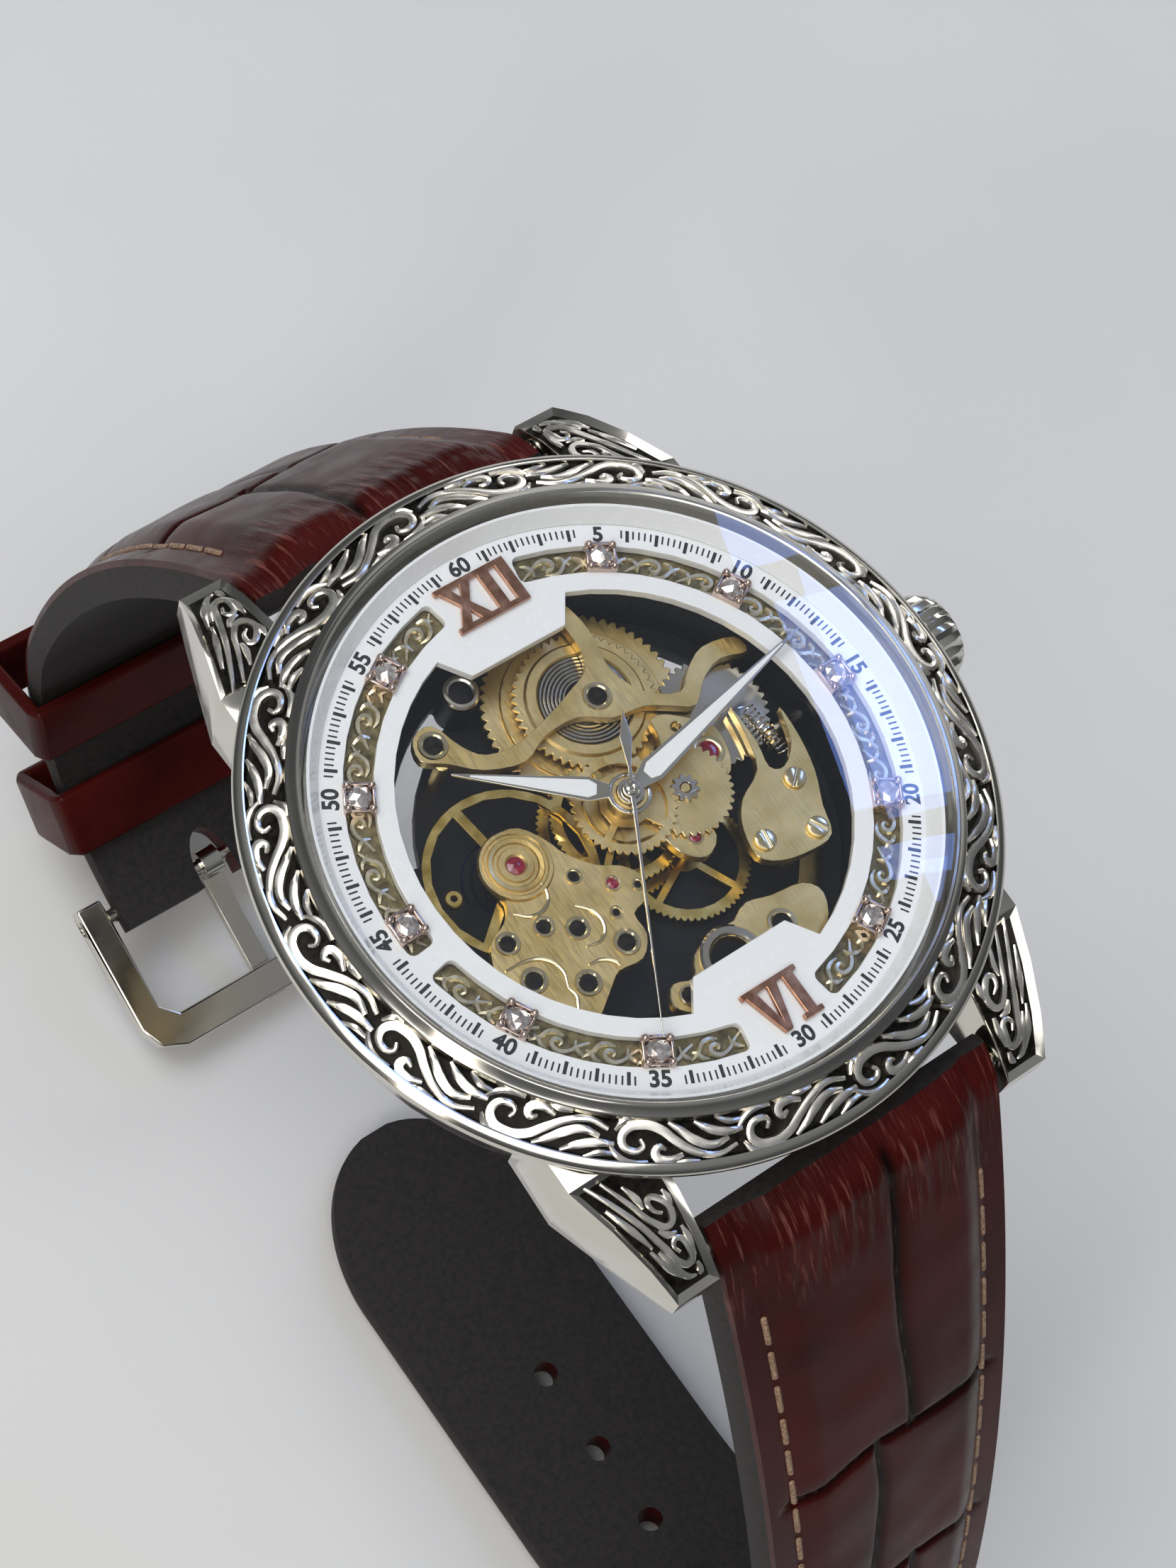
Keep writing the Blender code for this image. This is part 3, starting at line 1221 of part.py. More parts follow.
def strap_path(run, path):
    """Distance out, height and heading (radians below level) of the strap's middle, this far from the bar."""
    leave_deg, bends = path
    heading = math.radians(leave_deg)
    out, height = 0.0, 0.0
    left = run
    for length, turn_deg in bends:
        step = min(left, length)
        turn = math.radians(turn_deg) * step / length
        chord = step if abs(turn) < 1e-6 else 2 * step / turn * math.sin(turn / 2)
        out += chord * math.cos(heading + turn / 2)
        height -= chord * math.sin(heading + turn / 2)
        heading += turn
        left -= step
        if left <= 0.0:
            break
    return out, height, heading


def before_bar(run, path):
    heading = math.radians(path[0])
    return run * math.cos(heading), -run * math.sin(heading), heading


def strap_section(run, length, path, side, width, squeeze):
    """A ring of the strap: a flat lining, a padded crown, thinner edges."""
    out, height, heading = before_bar(run, path) if run < 0.0 else strap_path(run, path)
    part = max(run, 0.0) / length
    lining = (STRAP_LINING + (STRAP_END_LINING - STRAP_LINING) * part) * squeeze
    pad = (STRAP_PAD + (STRAP_END_PAD - STRAP_PAD) * min(1.0, 1.6 * part)) * squeeze
    half = width / 2
    edge = pad * STRAP_EDGE_DROP
    across = [
        (-half, -lining), (half, -lining), (half, edge), (half * 0.86, edge + 0.1), (half * 0.68, pad * 0.9)
    ]
    across += [(0.0, pad), (-half * 0.68, pad * 0.9), (-half * 0.86, edge + 0.1), (-half, edge)]
    ring = []
    for x, raised in across:
        y = out + raised * math.sin(heading)
        z = height + raised * math.cos(heading)
        ring.append((x, side * y, z))
    return ring


def strap_width(run):
    return STRAP_WIDTH + (STRAP_END_WIDTH - STRAP_WIDTH) * min(1.0, max(run, 0.0) / STRAP_RUN)


def strap_mesh(length, path, side, tip):
    """A strap half; a long one narrows to a rounded tip."""
    start = [(-STRAP_END_BEFORE_BAR, 0.35), (-0.75 * STRAP_END_BEFORE_BAR, 0.75), (0.0, 1.0)]
    rings = [strap_section(run, length, path, side, STRAP_WIDTH, squeeze) for run, squeeze in start]
    body_end = length - tip
    stations = [body_end * (i + 1) / 20 for i in range(20)]
    rings += [strap_section(run, length, path, side, strap_width(run), 1.0) for run in stations]
    for part in (0.45, 0.75, 0.92, 1.0):
        if tip:
            run = body_end + tip * part
            width = strap_width(run) * math.sqrt(1.0 - (0.97 * part) ** 2)
            rings.append(strap_section(run, length, path, side, width, 1.0))
    return loft(rings)


strap_12 = solid(
    "strap_12", strap_mesh(SHORT_LENGTH, SHORT_PATH, 1, 0.0), LEATHER, (0.0, BAR_REACH, BAR_HEIGHT)
)
strap_6 = solid(
    "strap_6", strap_mesh(LONG_LENGTH, LONG_PATH, -1, LONG_TIP), LEATHER, (0.0, -BAR_REACH, BAR_HEIGHT)
)
for strap in (strap_12, strap_6):
    cut(strap, along_x(rod(BAR_RADIUS + RUN, -LUG_GAP, LUG_GAP, 12)))


def placed_on_strap(mesh, run, path, side):
    """Stands a shape made about Z at this run of the strap, square to its surface."""
    out, height, heading = strap_path(run, path)
    lean = Matrix.Rotation(-side * heading, 4, "X")
    mesh.transform(Matrix.Translation(Vector((0.0, side * out, height)) * MM) @ lean)
    return mesh


hole_reach = STRAP_LINING + STRAP_PAD
for number in range(HOLE_COUNT):
    run = LONG_LENGTH - HOLE_FIRST_FROM_TIP - HOLE_PITCH * number
    cut(strap_6, placed_on_strap(rod(HOLE_RADIUS, -hole_reach, hole_reach, 10), run, LONG_PATH, -1))

# Buckle: a bar through the end of the short strap, a frame and a tongue that turn on it

BUCKLE_BAR_INSET = 1.6
bar_run = SHORT_LENGTH - BUCKLE_BAR_INSET
bar_out, bar_drop, bar_heading = strap_path(bar_run, SHORT_PATH)
BUCKLE_AT = (0.0, BAR_REACH + bar_out, BAR_HEIGHT + bar_drop)
BUCKLE_TURN = (-bar_heading, 0.0, 0.0)
buckle_bore = along_x(rod(BUCKLE_BAR_RADIUS + RUN, -STRAP_WIDTH, STRAP_WIDTH, 12))
cut(strap_12, moved(buckle_bore, (0.0, bar_out, bar_drop)))
slot_half = TONGUE_WIDTH / 2 + 2 * STRAP_CLEAR
tongue_slot = [(-slot_half, -TONGUE_SLOT_BACK), (slot_half, -TONGUE_SLOT_BACK)]
tongue_slot += [(slot_half, TONGUE_SLOT_FRONT), (-slot_half, TONGUE_SLOT_FRONT)]
cut(strap_12, placed_on_strap(plate([tongue_slot], -hole_reach, hole_reach), bar_run, SHORT_PATH, 1))

arm_inner = STRAP_END_WIDTH / 2 + 2 * STRAP_CLEAR
arm_outer = arm_inner + BUCKLE_ARM
half_buckle_bar = arm_outer - 2 * RUN
solid("buckle_bar", along_x(rod(BUCKLE_BAR_RADIUS, -half_buckle_bar, half_buckle_bar, 12)), STEEL, BUCKLE_AT)

arm_back = BUCKLE_BAR_RADIUS + 0.9
corner = 2.6
frame_half = [(arm_inner, -arm_back), (arm_outer, -arm_back), (arm_outer, BUCKLE_LENGTH - corner)]
frame_half += [(arm_outer - 0.3 * corner, BUCKLE_LENGTH - 0.3 * corner), (arm_outer - corner, BUCKLE_LENGTH)]
inside_half = [
    (arm_inner - 1.2, BUCKLE_LENGTH - BUCKLE_FRONT), (arm_inner, BUCKLE_LENGTH - BUCKLE_FRONT - 1.2)
]
frame_outline = frame_half + [(-x, y) for x, y in reversed(frame_half)]
frame_outline += [(-x, y) for x, y in reversed(inside_half)] + inside_half
buckle_frame = solid(
    "buckle_frame", plate([frame_outline], -BUCKLE_THICK / 2, BUCKLE_THICK / 2), STEEL, BUCKLE_AT, BUCKLE_TURN
)
cut(buckle_frame, along_x(rod(BUCKLE_BAR_RADIUS + RUN, -2 * arm_outer, 2 * arm_outer, 12)))

# The tongue is drawn on edge, its eye round the bar and its tip over the frame's front
tongue_low = BUCKLE_THICK / 2 + 2 * RUN
tongue_high = tongue_low + TONGUE_THICK
tongue_tip = BUCKLE_LENGTH + 0.2
meet = math.degrees(math.asin(min(0.98, tongue_low / TONGUE_EYE_RADIUS)))
tongue_outline = arc(TONGUE_EYE_RADIUS, 100.0, 360.0 + meet - 10.0, 14)
tongue_outline += [
    (BUCKLE_LENGTH - BUCKLE_FRONT, tongue_low), (tongue_tip, tongue_low), (tongue_tip, tongue_high - 0.3)
]
tongue_outline += [(BUCKLE_LENGTH - BUCKLE_FRONT, tongue_high), (1.2, tongue_high)]
tongue_mesh = plate(
    [tongue_outline, circle(BUCKLE_BAR_RADIUS + RUN, 12)], -TONGUE_WIDTH / 2, TONGUE_WIDTH / 2
)
tongue_mesh.transform(Matrix(((0, 0, 1, 0), (1, 0, 0, 0), (0, 1, 0, 0), (0, 0, 0, 1))))
solid("buckle_tongue", tongue_mesh, STEEL, BUCKLE_AT, BUCKLE_TURN)

# Keepers: two leather loops round the short strap, with room for the long strap's end


def keeper_loops(run):
    half = strap_width(run) / 2 + KEEPER_CLEAR
    part = run / SHORT_LENGTH
    low_side = STRAP_LINING + (STRAP_END_LINING - STRAP_LINING) * part + KEEPER_CLEAR
    high_side = STRAP_PAD + (STRAP_END_PAD - STRAP_PAD) * min(1.0, 1.6 * part) + KEEPER_CLEAR + KEEPER_ROOM
    inside = [(-half, -low_side), (half, -low_side), (half, high_side), (-half, high_side)]
    wide = half + KEEPER_WALL
    outside = [
        (-wide + 0.5, -low_side - KEEPER_WALL), (wide - 0.5, -low_side - KEEPER_WALL), (wide, -low_side)
    ]
    outside += [
        (wide, high_side), (wide - 0.5, high_side + KEEPER_WALL), (-wide + 0.5, high_side + KEEPER_WALL)
    ]
    outside += [(-wide, high_side), (-wide, -low_side)]
    return [outside, inside]


for name, run in (("keeper_fixed", FIXED_KEEPER_AT), ("keeper_free", FREE_KEEPER_AT)):
    out, drop, heading = strap_path(run, SHORT_PATH)
    loop = plate(keeper_loops(run), -KEEPER_WIDTH / 2, KEEPER_WIDTH / 2)
    loop.transform(Matrix.Rotation(math.pi / 2, 4, "X"))
    solid(name, loop, LEATHER, (0.0, BAR_REACH + out, BAR_HEIGHT + drop), (-heading, 0.0, 0.0))
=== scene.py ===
"""A self-winding skeleton wristwatch on a padded leather strap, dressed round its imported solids.

+Z is the way the dial faces, +Y points to twelve o'clock, +X to the crown. Sizes are in millimetres.
"""

import math
from contextlib import contextmanager
from dataclasses import dataclass

import bpy
from mathutils import Matrix, Vector, noise


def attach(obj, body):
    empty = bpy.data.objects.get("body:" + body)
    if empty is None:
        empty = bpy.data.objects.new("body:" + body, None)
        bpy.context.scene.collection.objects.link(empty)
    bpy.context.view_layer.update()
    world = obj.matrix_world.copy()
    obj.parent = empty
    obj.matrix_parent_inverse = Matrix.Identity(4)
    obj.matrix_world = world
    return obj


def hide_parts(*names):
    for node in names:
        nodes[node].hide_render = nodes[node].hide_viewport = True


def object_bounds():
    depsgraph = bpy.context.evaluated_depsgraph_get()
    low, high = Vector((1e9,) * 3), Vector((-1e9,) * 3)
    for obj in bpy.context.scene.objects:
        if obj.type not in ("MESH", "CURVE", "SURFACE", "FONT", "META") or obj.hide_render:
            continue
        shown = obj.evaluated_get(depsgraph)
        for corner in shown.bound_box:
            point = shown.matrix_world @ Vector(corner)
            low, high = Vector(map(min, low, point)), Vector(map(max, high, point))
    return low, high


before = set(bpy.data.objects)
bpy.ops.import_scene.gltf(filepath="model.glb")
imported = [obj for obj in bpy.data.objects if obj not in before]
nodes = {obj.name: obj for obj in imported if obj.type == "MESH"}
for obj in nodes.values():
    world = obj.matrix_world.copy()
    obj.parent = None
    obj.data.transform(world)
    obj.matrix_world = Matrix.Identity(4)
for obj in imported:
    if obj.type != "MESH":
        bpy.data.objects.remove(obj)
cad_box = [list(corner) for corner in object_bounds()]
scene = bpy.context.scene
scene.view_settings.view_transform = "Standard"

# Mid case and lugs
# The middle of the case and its four lugs are one piece of stainless steel, turned, milled and buffed.
# The top of each lug has a sunk panel with a blackened floor, on which a scroll stands in relief.

MM = 0.001
CASE_EDGE = 0.2
PANEL_RIM = 0.38
PANEL_DEPTH = 0.32
LUG_INNER = 10.0
LUG_FROM = 20.6
LUG_FACING_UP = 0.4
LUG_TOP = 7.6
LUG_DROP = 3.4
LUG_SHOULDER = 15.98
LUG_RUN = 7.42
LUG_FALL = [(0.0, 0.04), (0.38, 0.22), (0.72, 0.55), (0.92, 0.86), (1.0, 1.0)]
LUG_ROOT_WIDTH = 5.2
LUG_NARROWING = 2.5
BEZEL_EDGE = 21.1
STROKE = 0.22
SCROLL_SEAT = 0.12
SCROLL_SINK = 0.08
SMOOTH_BELOW_DEG = 32.0
MERGE_WITHIN = 0.002
FLAT_WITHIN_DEG = 0.8
LUG_SCROLL = [
    [(0.98, 0.02), (0.84, 0.2), (0.72, 0.4), (0.62, 0.62), (0.48, 0.8), (0.24, 0.82), (0.14, 0.68),
     (0.26, 0.56), (0.42, 0.62), (0.38, 0.7)],
    [(0.74, 0.02), (0.62, 0.2), (0.48, 0.38), (0.26, 0.42), (0.1, 0.3), (0.16, 0.14), (0.34, 0.14),
     (0.38, 0.25), (0.26, 0.29)],
    [(0.54, 0.02), (0.48, 0.14), (0.5, 0.24)],
    [(0.97, 0.26), (0.9, 0.44), (0.84, 0.6)],
    [(0.92, 0.62), (0.84, 0.8), (0.66, 0.92)],
    [(0.05, 0.44), (0.03, 0.6), (0.06, 0.78)],
    [(0.78, 0.64), (0.7, 0.78), (0.52, 0.93), (0.28, 0.96)],
    [(0.52, 0.46), (0.4, 0.51), (0.2, 0.5)],
    [(0.08, 0.84), (0.1, 0.94), (0.18, 0.97)],
    [(0.05, 0.02), (0.03, 0.12), (0.05, 0.24)],
]


def linear(colour):
    """A linear colour with alpha from an sRGB hex value."""
    channels = [int(colour[i : i + 2], 16) / 255 for i in (1, 3, 5)]
    return [c / 12.92 if c <= 0.04045 else ((c + 0.055) / 1.055) ** 2.4 for c in channels] + [1.0]


def add_node(material, kind, values=None, links=None, **settings):
    """Adds a node: settings go on the node, values on its inputs, links join its inputs to other outputs."""
    node = material.node_tree.nodes.new(kind)
    for name, value in settings.items():
        setattr(node, name, value)
    for name, value in (values or {}).items():
        node.inputs[name].default_value = value
    for name, source in (links or {}).items():
        material.node_tree.links.new(source, node.inputs[name])
    return node


def surface(name, metallic=1.0, values=None):
    """A material with one shader, and its constant values on the shader's own sockets; colours are hex."""
    material = bpy.data.materials.new(name)
    material.use_nodes = True
    shader = material.node_tree.nodes["Principled BSDF"]
    shader.inputs["Metallic"].default_value = metallic
    for socket, value in (values or {}).items():
        shader.inputs[socket].default_value = linear(value) if socket == "Base Color" else value
    return material


def feed(material, socket, source):
    """Joins an output to a socket of the material's shader."""
    material.node_tree.links.new(source, material.node_tree.nodes["Principled BSDF"].inputs[socket])


def patches(material, size, detail=3.0, stretch=(1.0, 1.0, 1.0)):
    """Soft patches of this size in millimetres, as a value from 0 to 1, fixed to the piece."""
    place = add_node(material, "ShaderNodeTexCoord")
    turn = add_node(material, "ShaderNodeMapping", {"Scale": stretch}, {"Vector": place.outputs["Object"]})
    values = {"Scale": 1 / (size * MM), "Detail": detail}
    return add_node(material, "ShaderNodeTexNoise", values, {"Vector": turn.outputs["Vector"]}).outputs["Fac"]


# A pattern's values mostly lie in this range, which is spread over what follows it.
PATCH_RANGE = {"From Min": 0.3, "From Max": 0.7}


def vary(material, size, colours=None, roughness=None, bump=0.0, **pattern):
    """Lets the colour, roughness and height in millimetres of a surface follow patches of this size."""
    source = patches(material, size, **pattern)
    if colours:
        share = add_node(material, "ShaderNodeMapRange", PATCH_RANGE, {"Value": source}).outputs["Result"]
        ends = {6: linear(colours[0]), 7: linear(colours[1])}
        mixed = add_node(material, "ShaderNodeMix", ends, {0: share}, data_type="RGBA")
        feed(material, "Base Color", mixed.outputs[2])
    if roughness:
        ends = {"To Min": roughness[0], "To Max": roughness[1], **PATCH_RANGE}
        spread = add_node(material, "ShaderNodeMapRange", ends, {"Value": source})
        feed(material, "Roughness", spread.outputs["Result"])
    if bump:
        relief = add_node(material, "ShaderNodeBump", {"Distance": bump * MM}, {"Height": source})
        feed(material, "Normal", relief.outputs["Normal"])


# Stainless steel, ground and buffed: a warm mirror whose gloss wanders over swirls some 3 mm across.
polished_steel = surface("stainless steel buffed", values={"Base Color": "#DAD6CC"})
vary(polished_steel, 3.0, roughness=(0.08, 0.19))

# Steel blackened in an oxidising bath: a matt near-black with paler rubbed patches about 0.4 mm across.
blackened_steel = surface("stainless steel oxidised", 0.8)
vary(blackened_steel, 0.4, ("#0B0A09", "#2B2822"), (0.35, 0.6))

# The same steel on the chased scrolls, rubbed flat with a fine stone: a soft shine, with a painted highlight
# in a colour paler than the buffed steel.
stoned_highlight_steel = surface("stainless steel chased, stoned and painted pale", values={"Base Color": "#F0ECE2"})
vary(stoned_highlight_steel, 0.8, roughness=(0.22, 0.36))


def activate(piece):
    """Makes one piece the active one, and the only one selected."""
    bpy.ops.object.select_all(action="DESELECT")
    piece.select_set(True)
    bpy.context.view_layer.objects.active = piece


@contextmanager
def editing(piece):
    """Edit mode with the whole of a piece selected."""
    activate(piece)
    bpy.ops.object.mode_set(mode="EDIT")
    bpy.ops.mesh.select_all(action="SELECT")
    yield
    bpy.ops.object.mode_set(mode="OBJECT")


def add_piece(name, data):
    """A new object in the scene."""
    piece = bpy.data.objects.new(name, data)
    scene.collection.objects.link(piece)
    return piece


def copied(node, *materials):
    """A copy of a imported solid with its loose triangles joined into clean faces."""
    mesh = nodes[node].data.copy()
    mesh.materials.clear()
    for material in materials:
        mesh.materials.append(material)
    piece = add_piece(f"{node}_finished", mesh)
    with editing(piece):
        bpy.ops.mesh.remove_doubles(threshold=MERGE_WITHIN * MM)
        bpy.ops.mesh.dissolve_limited(angle_limit=math.radians(FLAT_WITHIN_DEG))
    return piece


def break_edges(piece, width, segments=2, edge_material=-1, from_deg=40.0):
    """Rounds the sharp edges of a piece, as a finisher's file and buff leave them."""
    activate(piece)
    bevel = piece.modifiers.new("broken edges", "BEVEL")
    bevel.width = width * MM
    bevel.segments = segments
    bevel.limit_method = "ANGLE"
    bevel.angle_limit = math.radians(from_deg)
    bevel.material = edge_material
    bpy.ops.object.modifier_apply(modifier=bevel.name)


def settle(piece, body, slot, *stands_for):
    """Shades a finished piece smooth, puts its place into its mesh and lets it ride on its body."""
    activate(piece)
    bpy.ops.object.transform_apply(location=True, rotation=True, scale=True)
    bpy.ops.object.shade_smooth_by_angle(angle=math.radians(SMOOTH_BELOW_DEG))
    piece.data.name = piece.name
    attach(piece, body)
    if stands_for:
        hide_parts(*stands_for)


def refined(node, body, slot, edge, *materials, segments=2, edge_material=-1):
    """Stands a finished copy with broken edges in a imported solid's place."""
    piece = copied(node, *materials)
    break_edges(piece, edge, segments, edge_material)
    settle(piece, body, slot, node)
    even = piece.modifiers.new("even shading", "WEIGHTED_NORMAL")
    even.keep_sharp = True
    bpy.ops.object.modifier_apply(modifier=even.name)
    return piece


def select_faces(piece, wanted):
    """Enters edit mode with the faces selected whose middle (in millimetres) and normal are wanted."""
    activate(piece)
    bpy.ops.object.mode_set(mode="EDIT")
    bpy.ops.mesh.select_mode(type="FACE")
    bpy.ops.mesh.select_all(action="DESELECT")
    bpy.ops.object.mode_set(mode="OBJECT")
    for face in piece.data.polygons:
        face.select = wanted(face.center / MM, face.normal)
    bpy.ops.object.mode_set(mode="EDIT")


def lug_top(middle, normal):
    """Whether a face belongs to the sloped top of a lug."""
    beside_strap = abs(middle.x) > LUG_INNER and abs(middle.y) > LUG_SHOULDER
    return beside_strap and normal.z > LUG_FACING_UP and middle.length > LUG_FROM


mid_case = copied("mid_case", polished_steel, blackened_steel)
select_faces(mid_case, lug_top)
bpy.ops.mesh.inset(thickness=PANEL_RIM * MM, depth=-PANEL_DEPTH * MM)
mid_case.active_material_index = 1
bpy.ops.object.material_slot_assign()
bpy.ops.object.mode_set(mode="OBJECT")
break_edges(mid_case, CASE_EDGE)
settle(mid_case, "case", "polished_steel", "mid_case")


def strokes(name, lines, thickness, material, sides=2, steps=5):
    """Round-backed strokes along smooth lines of (x, y, z) points, tapered at both ends, as one mesh."""
    curve = bpy.data.curves.new(name, "CURVE")
    curve.dimensions = "3D"
    curve.bevel_depth = thickness
    curve.bevel_resolution = sides
    curve.resolution_u = steps
    curve.use_fill_caps = True
    for line in lines:
        spline = curve.splines.new("BEZIER")
        spline.bezier_points.add(len(line) - 1)
        for i, (point, place) in enumerate(zip(spline.bezier_points, line)):
            point.co = place
            point.handle_left_type = "AUTO"
            point.handle_right_type = "AUTO"
            point.radius = 0.22 + 0.78 * math.sin(math.pi * (0.12 + 0.8 * i / (len(line) - 1)))
    piece = add_piece(name, curve)
    activate(piece)
    bpy.ops.object.convert(target="MESH")
    piece = bpy.context.active_object
    piece.data.materials.append(material)
    return piece


def joined(name, pieces):
    """Several pieces as one."""
    activate(pieces[0])
    for piece in pieces:
        piece.select_set(True)
    bpy.ops.object.join()
    pieces[0].name = name
    return pieces[0]


def lug_height(y):
    """Height of a lug's top, this far out along the watch."""
    part = min(1.0, max(0.0, (y - LUG_SHOULDER) / LUG_RUN))
    for (start, high), (end, low) in zip(LUG_FALL, LUG_FALL[1:]):
        if part <= end:
            return LUG_TOP - LUG_DROP * (high + (low - high) * (part - start) / (end - start))


def on_lug(across, along, side_x, side_y):
    """A point on a lug panel's floor: across from the strap outwards and along to the tip, from 0 to 1."""
    inner = LUG_INNER + PANEL_RIM + STROKE
    y = LUG_SHOULDER
    for _ in range(4):
        room = LUG_ROOT_WIDTH - LUG_NARROWING * (y - LUG_SHOULDER) / LUG_RUN - 2 * (PANEL_RIM + STROKE)
        x = inner + room * across
        root = math.sqrt(BEZEL_EDGE ** 2 - x ** 2)
        y = root + (LUG_SHOULDER + LUG_RUN - PANEL_RIM - STROKE - root) * along
    return side_x * x, side_y * y, lug_height(y) - PANEL_DEPTH + SCROLL_SEAT


lug_scrolls = []
for side_x, side_y in ((1, 1), (-1, 1), (-1, -1), (1, -1)):
    lines = [[on_lug(across, along, side_x, side_y) for across, along in line] for line in LUG_SCROLL]
    lug_scrolls.append(strokes("lug_scroll", lines, STROKE, stoned_highlight_steel))
lug_relief = joined("lug_scrolls", lug_scrolls)
for point in lug_relief.data.vertices:
    point.co.z = min(point.co.z, lug_height(abs(point.co.y)) - SCROLL_SINK)
lug_relief.scale = (MM, MM, MM)
settle(lug_relief, "case", "polished_steel")

# Case back and rotor
# A polished steel ring is pressed into the bore from behind and holds a flat mineral glass.
# Behind the glass the half-moon rotor of satin brass turns on its post and winds the watch.

BACK_EDGE = 0.15
FINE_EDGE = 0.05
ROTOR_EDGE = 0.12

# Brass, satin grained: straight fine lines, drawn 0.12 mm wide so that they show, over a champagne plating.
champagne_brass = surface("brass satin grained")
vary(champagne_brass, 2.4, ("#C8AC67", "#EBD190"))
vary(champagne_brass, 0.9, roughness=(0.28, 0.46), bump=0.012, detail=4.0, stretch=(7.0, 0.6, 1.0))

# The same brass along its filed and burnished edges: mirror bright, its colour painted pale as a highlight.
burnished_highlight_brass = surface("brass burnished and painted pale", values={"Base Color": "#E9DDB8"})
vary(burnished_highlight_brass, 0.8, roughness=(0.1, 0.22))

# Flat mineral glass, float ground: clear, with a plain surface reflection.
back_glass = surface("mineral glass ground flat", values={"Base Color": "#FFFFFF", "Roughness": 0.02})


def see_through(material, ior):
    """Lets light straight through a glass and leaves the mirror that its surface gives at each angle."""
    tree = material.node_tree
    clear = add_node(material, "ShaderNodeBsdfTransparent").outputs[0]
    level = ((ior - 1) / (ior + 1)) ** 2
    facing = add_node(material, "ShaderNodeLayerWeight", {"Blend": 0.5}).outputs["Facing"]
    rise = add_node(material, "ShaderNodeMath", {1: 5.0}, {0: facing}, operation="POWER").outputs[0]
    mirror = add_node(material, "ShaderNodeMapRange", {"To Min": level}, {"Value": rise}).outputs["Result"]
    parts = {0: mirror, 1: clear, 2: tree.nodes["Principled BSDF"].outputs["BSDF"]}
    mixed = add_node(material, "ShaderNodeMixShader", None, parts)
    tree.links.new(mixed.outputs[0], tree.nodes["Material Output"].inputs["Surface"])


see_through(back_glass, 1.45)
refined("case_back_ring", "case", "polished_steel", BACK_EDGE, polished_steel)
refined("case_back_glass", "case", "crystal_glass", FINE_EDGE, back_glass)
refined("rotor", "rotor", "champagne_brass", ROTOR_EDGE, champagne_brass, burnished_highlight_brass, edge_material=1)
refined("rotor_post", "case", "polished_steel", FINE_EDGE, polished_steel)

# Movement ring and main plate
# A black-plated ring centres the movement in the case and carries the dial.
# The main plate is brass, plated black, so that the wheels stand out against it.

# Brass, blasted and plated black: matt, with a faint grain of 0.25 mm and greyer rubbed patches.
black_plate = surface("brass blasted and black plated", 0.6)
vary(black_plate, 2.0, ("#0A0A0B", "#1D1D20"))
vary(black_plate, 0.25, roughness=(0.4, 0.62), bump=0.01)

PLATE_EDGE = 0.1
refined("movement_ring", "case", "polished_steel", PLATE_EDGE, black_plate)
refined("main_plate", "case", "black_plate", PLATE_EDGE, black_plate)

# Barrel and going train
# The barrel and the wheels are cut from brass and gilt, then set on steel arbors; their rims are polished.
# The ratchet wheel over the barrel carries a steel cover that is turned in fine steps.

# Brass, gilt and polished: a pale lemon yellow with a soft shine, a little uneven over 1 mm.
gilt_brass = surface("brass gilt and polished")
vary(gilt_brass, 1.0, ("#CDAD54", "#EAD184"), (0.22, 0.32))

# Spring steel, blued by heat: deep blue with a violet cast in patches of 0.5 mm.
blued_steel = surface("spring steel heat blued", values={"Roughness": 0.25})
vary(blued_steel, 0.5, ("#1A2B66", "#3A2F78"))

WHEEL_EDGE = 0.035
BARREL_AT = (2.4, 6.5)
for wheel, body, slot, metal in (
    ("mainspring_barrel", "barrel", "champagne_brass", champagne_brass),
    ("fourth_wheel", "seconds", "gilt_brass", gilt_brass),
    ("third_wheel", "third_wheel", "gilt_brass", gilt_brass),
    ("centre_wheel", "minute", "gilt_brass", gilt_brass),
    ("escape_wheel", "escape_wheel", "polished_steel", polished_steel),
    ("pallet_fork", "pallet_fork", "polished_steel", polished_steel),
    ("balance_wheel", "balance", "gilt_brass", gilt_brass),
    ("hairspring", "balance", "blued_steel", blued_steel),
    ("ratchet_wheel", "ratchet_wheel", "polished_steel", champagne_brass),
    ("crown_wheel", "crown_wheel", "polished_steel", polished_steel),
    ("stem", "stem", "polished_steel", polished_steel),
):
    refined(wheel, body, slot, WHEEL_EDGE, metal, segments=1)


def spun(name, profile, steps, *materials, ring=True, at=(0.0, 0.0)):
    """A profile of (radius, height) points turned round an upright axis; that of a ring closes on itself."""
    count = len(profile)
    edges = [(i, (i + 1) % count) for i in range(count if ring else count - 1)]
    mesh = bpy.data.meshes.new(name)
    mesh.from_pydata([(radius * MM, 0.0, height * MM) for radius, height in profile], edges, [])
    for material in materials:
        mesh.materials.append(material)
    piece = add_piece(name, mesh)
    with editing(piece):
        bpy.ops.mesh.spin(steps=steps, angle=math.tau, center=(0.0, 0.0, 0.0), axis=(0.0, 0.0, 1.0))
        bpy.ops.mesh.select_all(action="SELECT")
        bpy.ops.mesh.remove_doubles(threshold=MERGE_WITHIN / 2 * MM)
        bpy.ops.mesh.normals_make_consistent(inside=False)
    piece.location = (at[0] * MM, at[1] * MM, 0.0)
    return piece


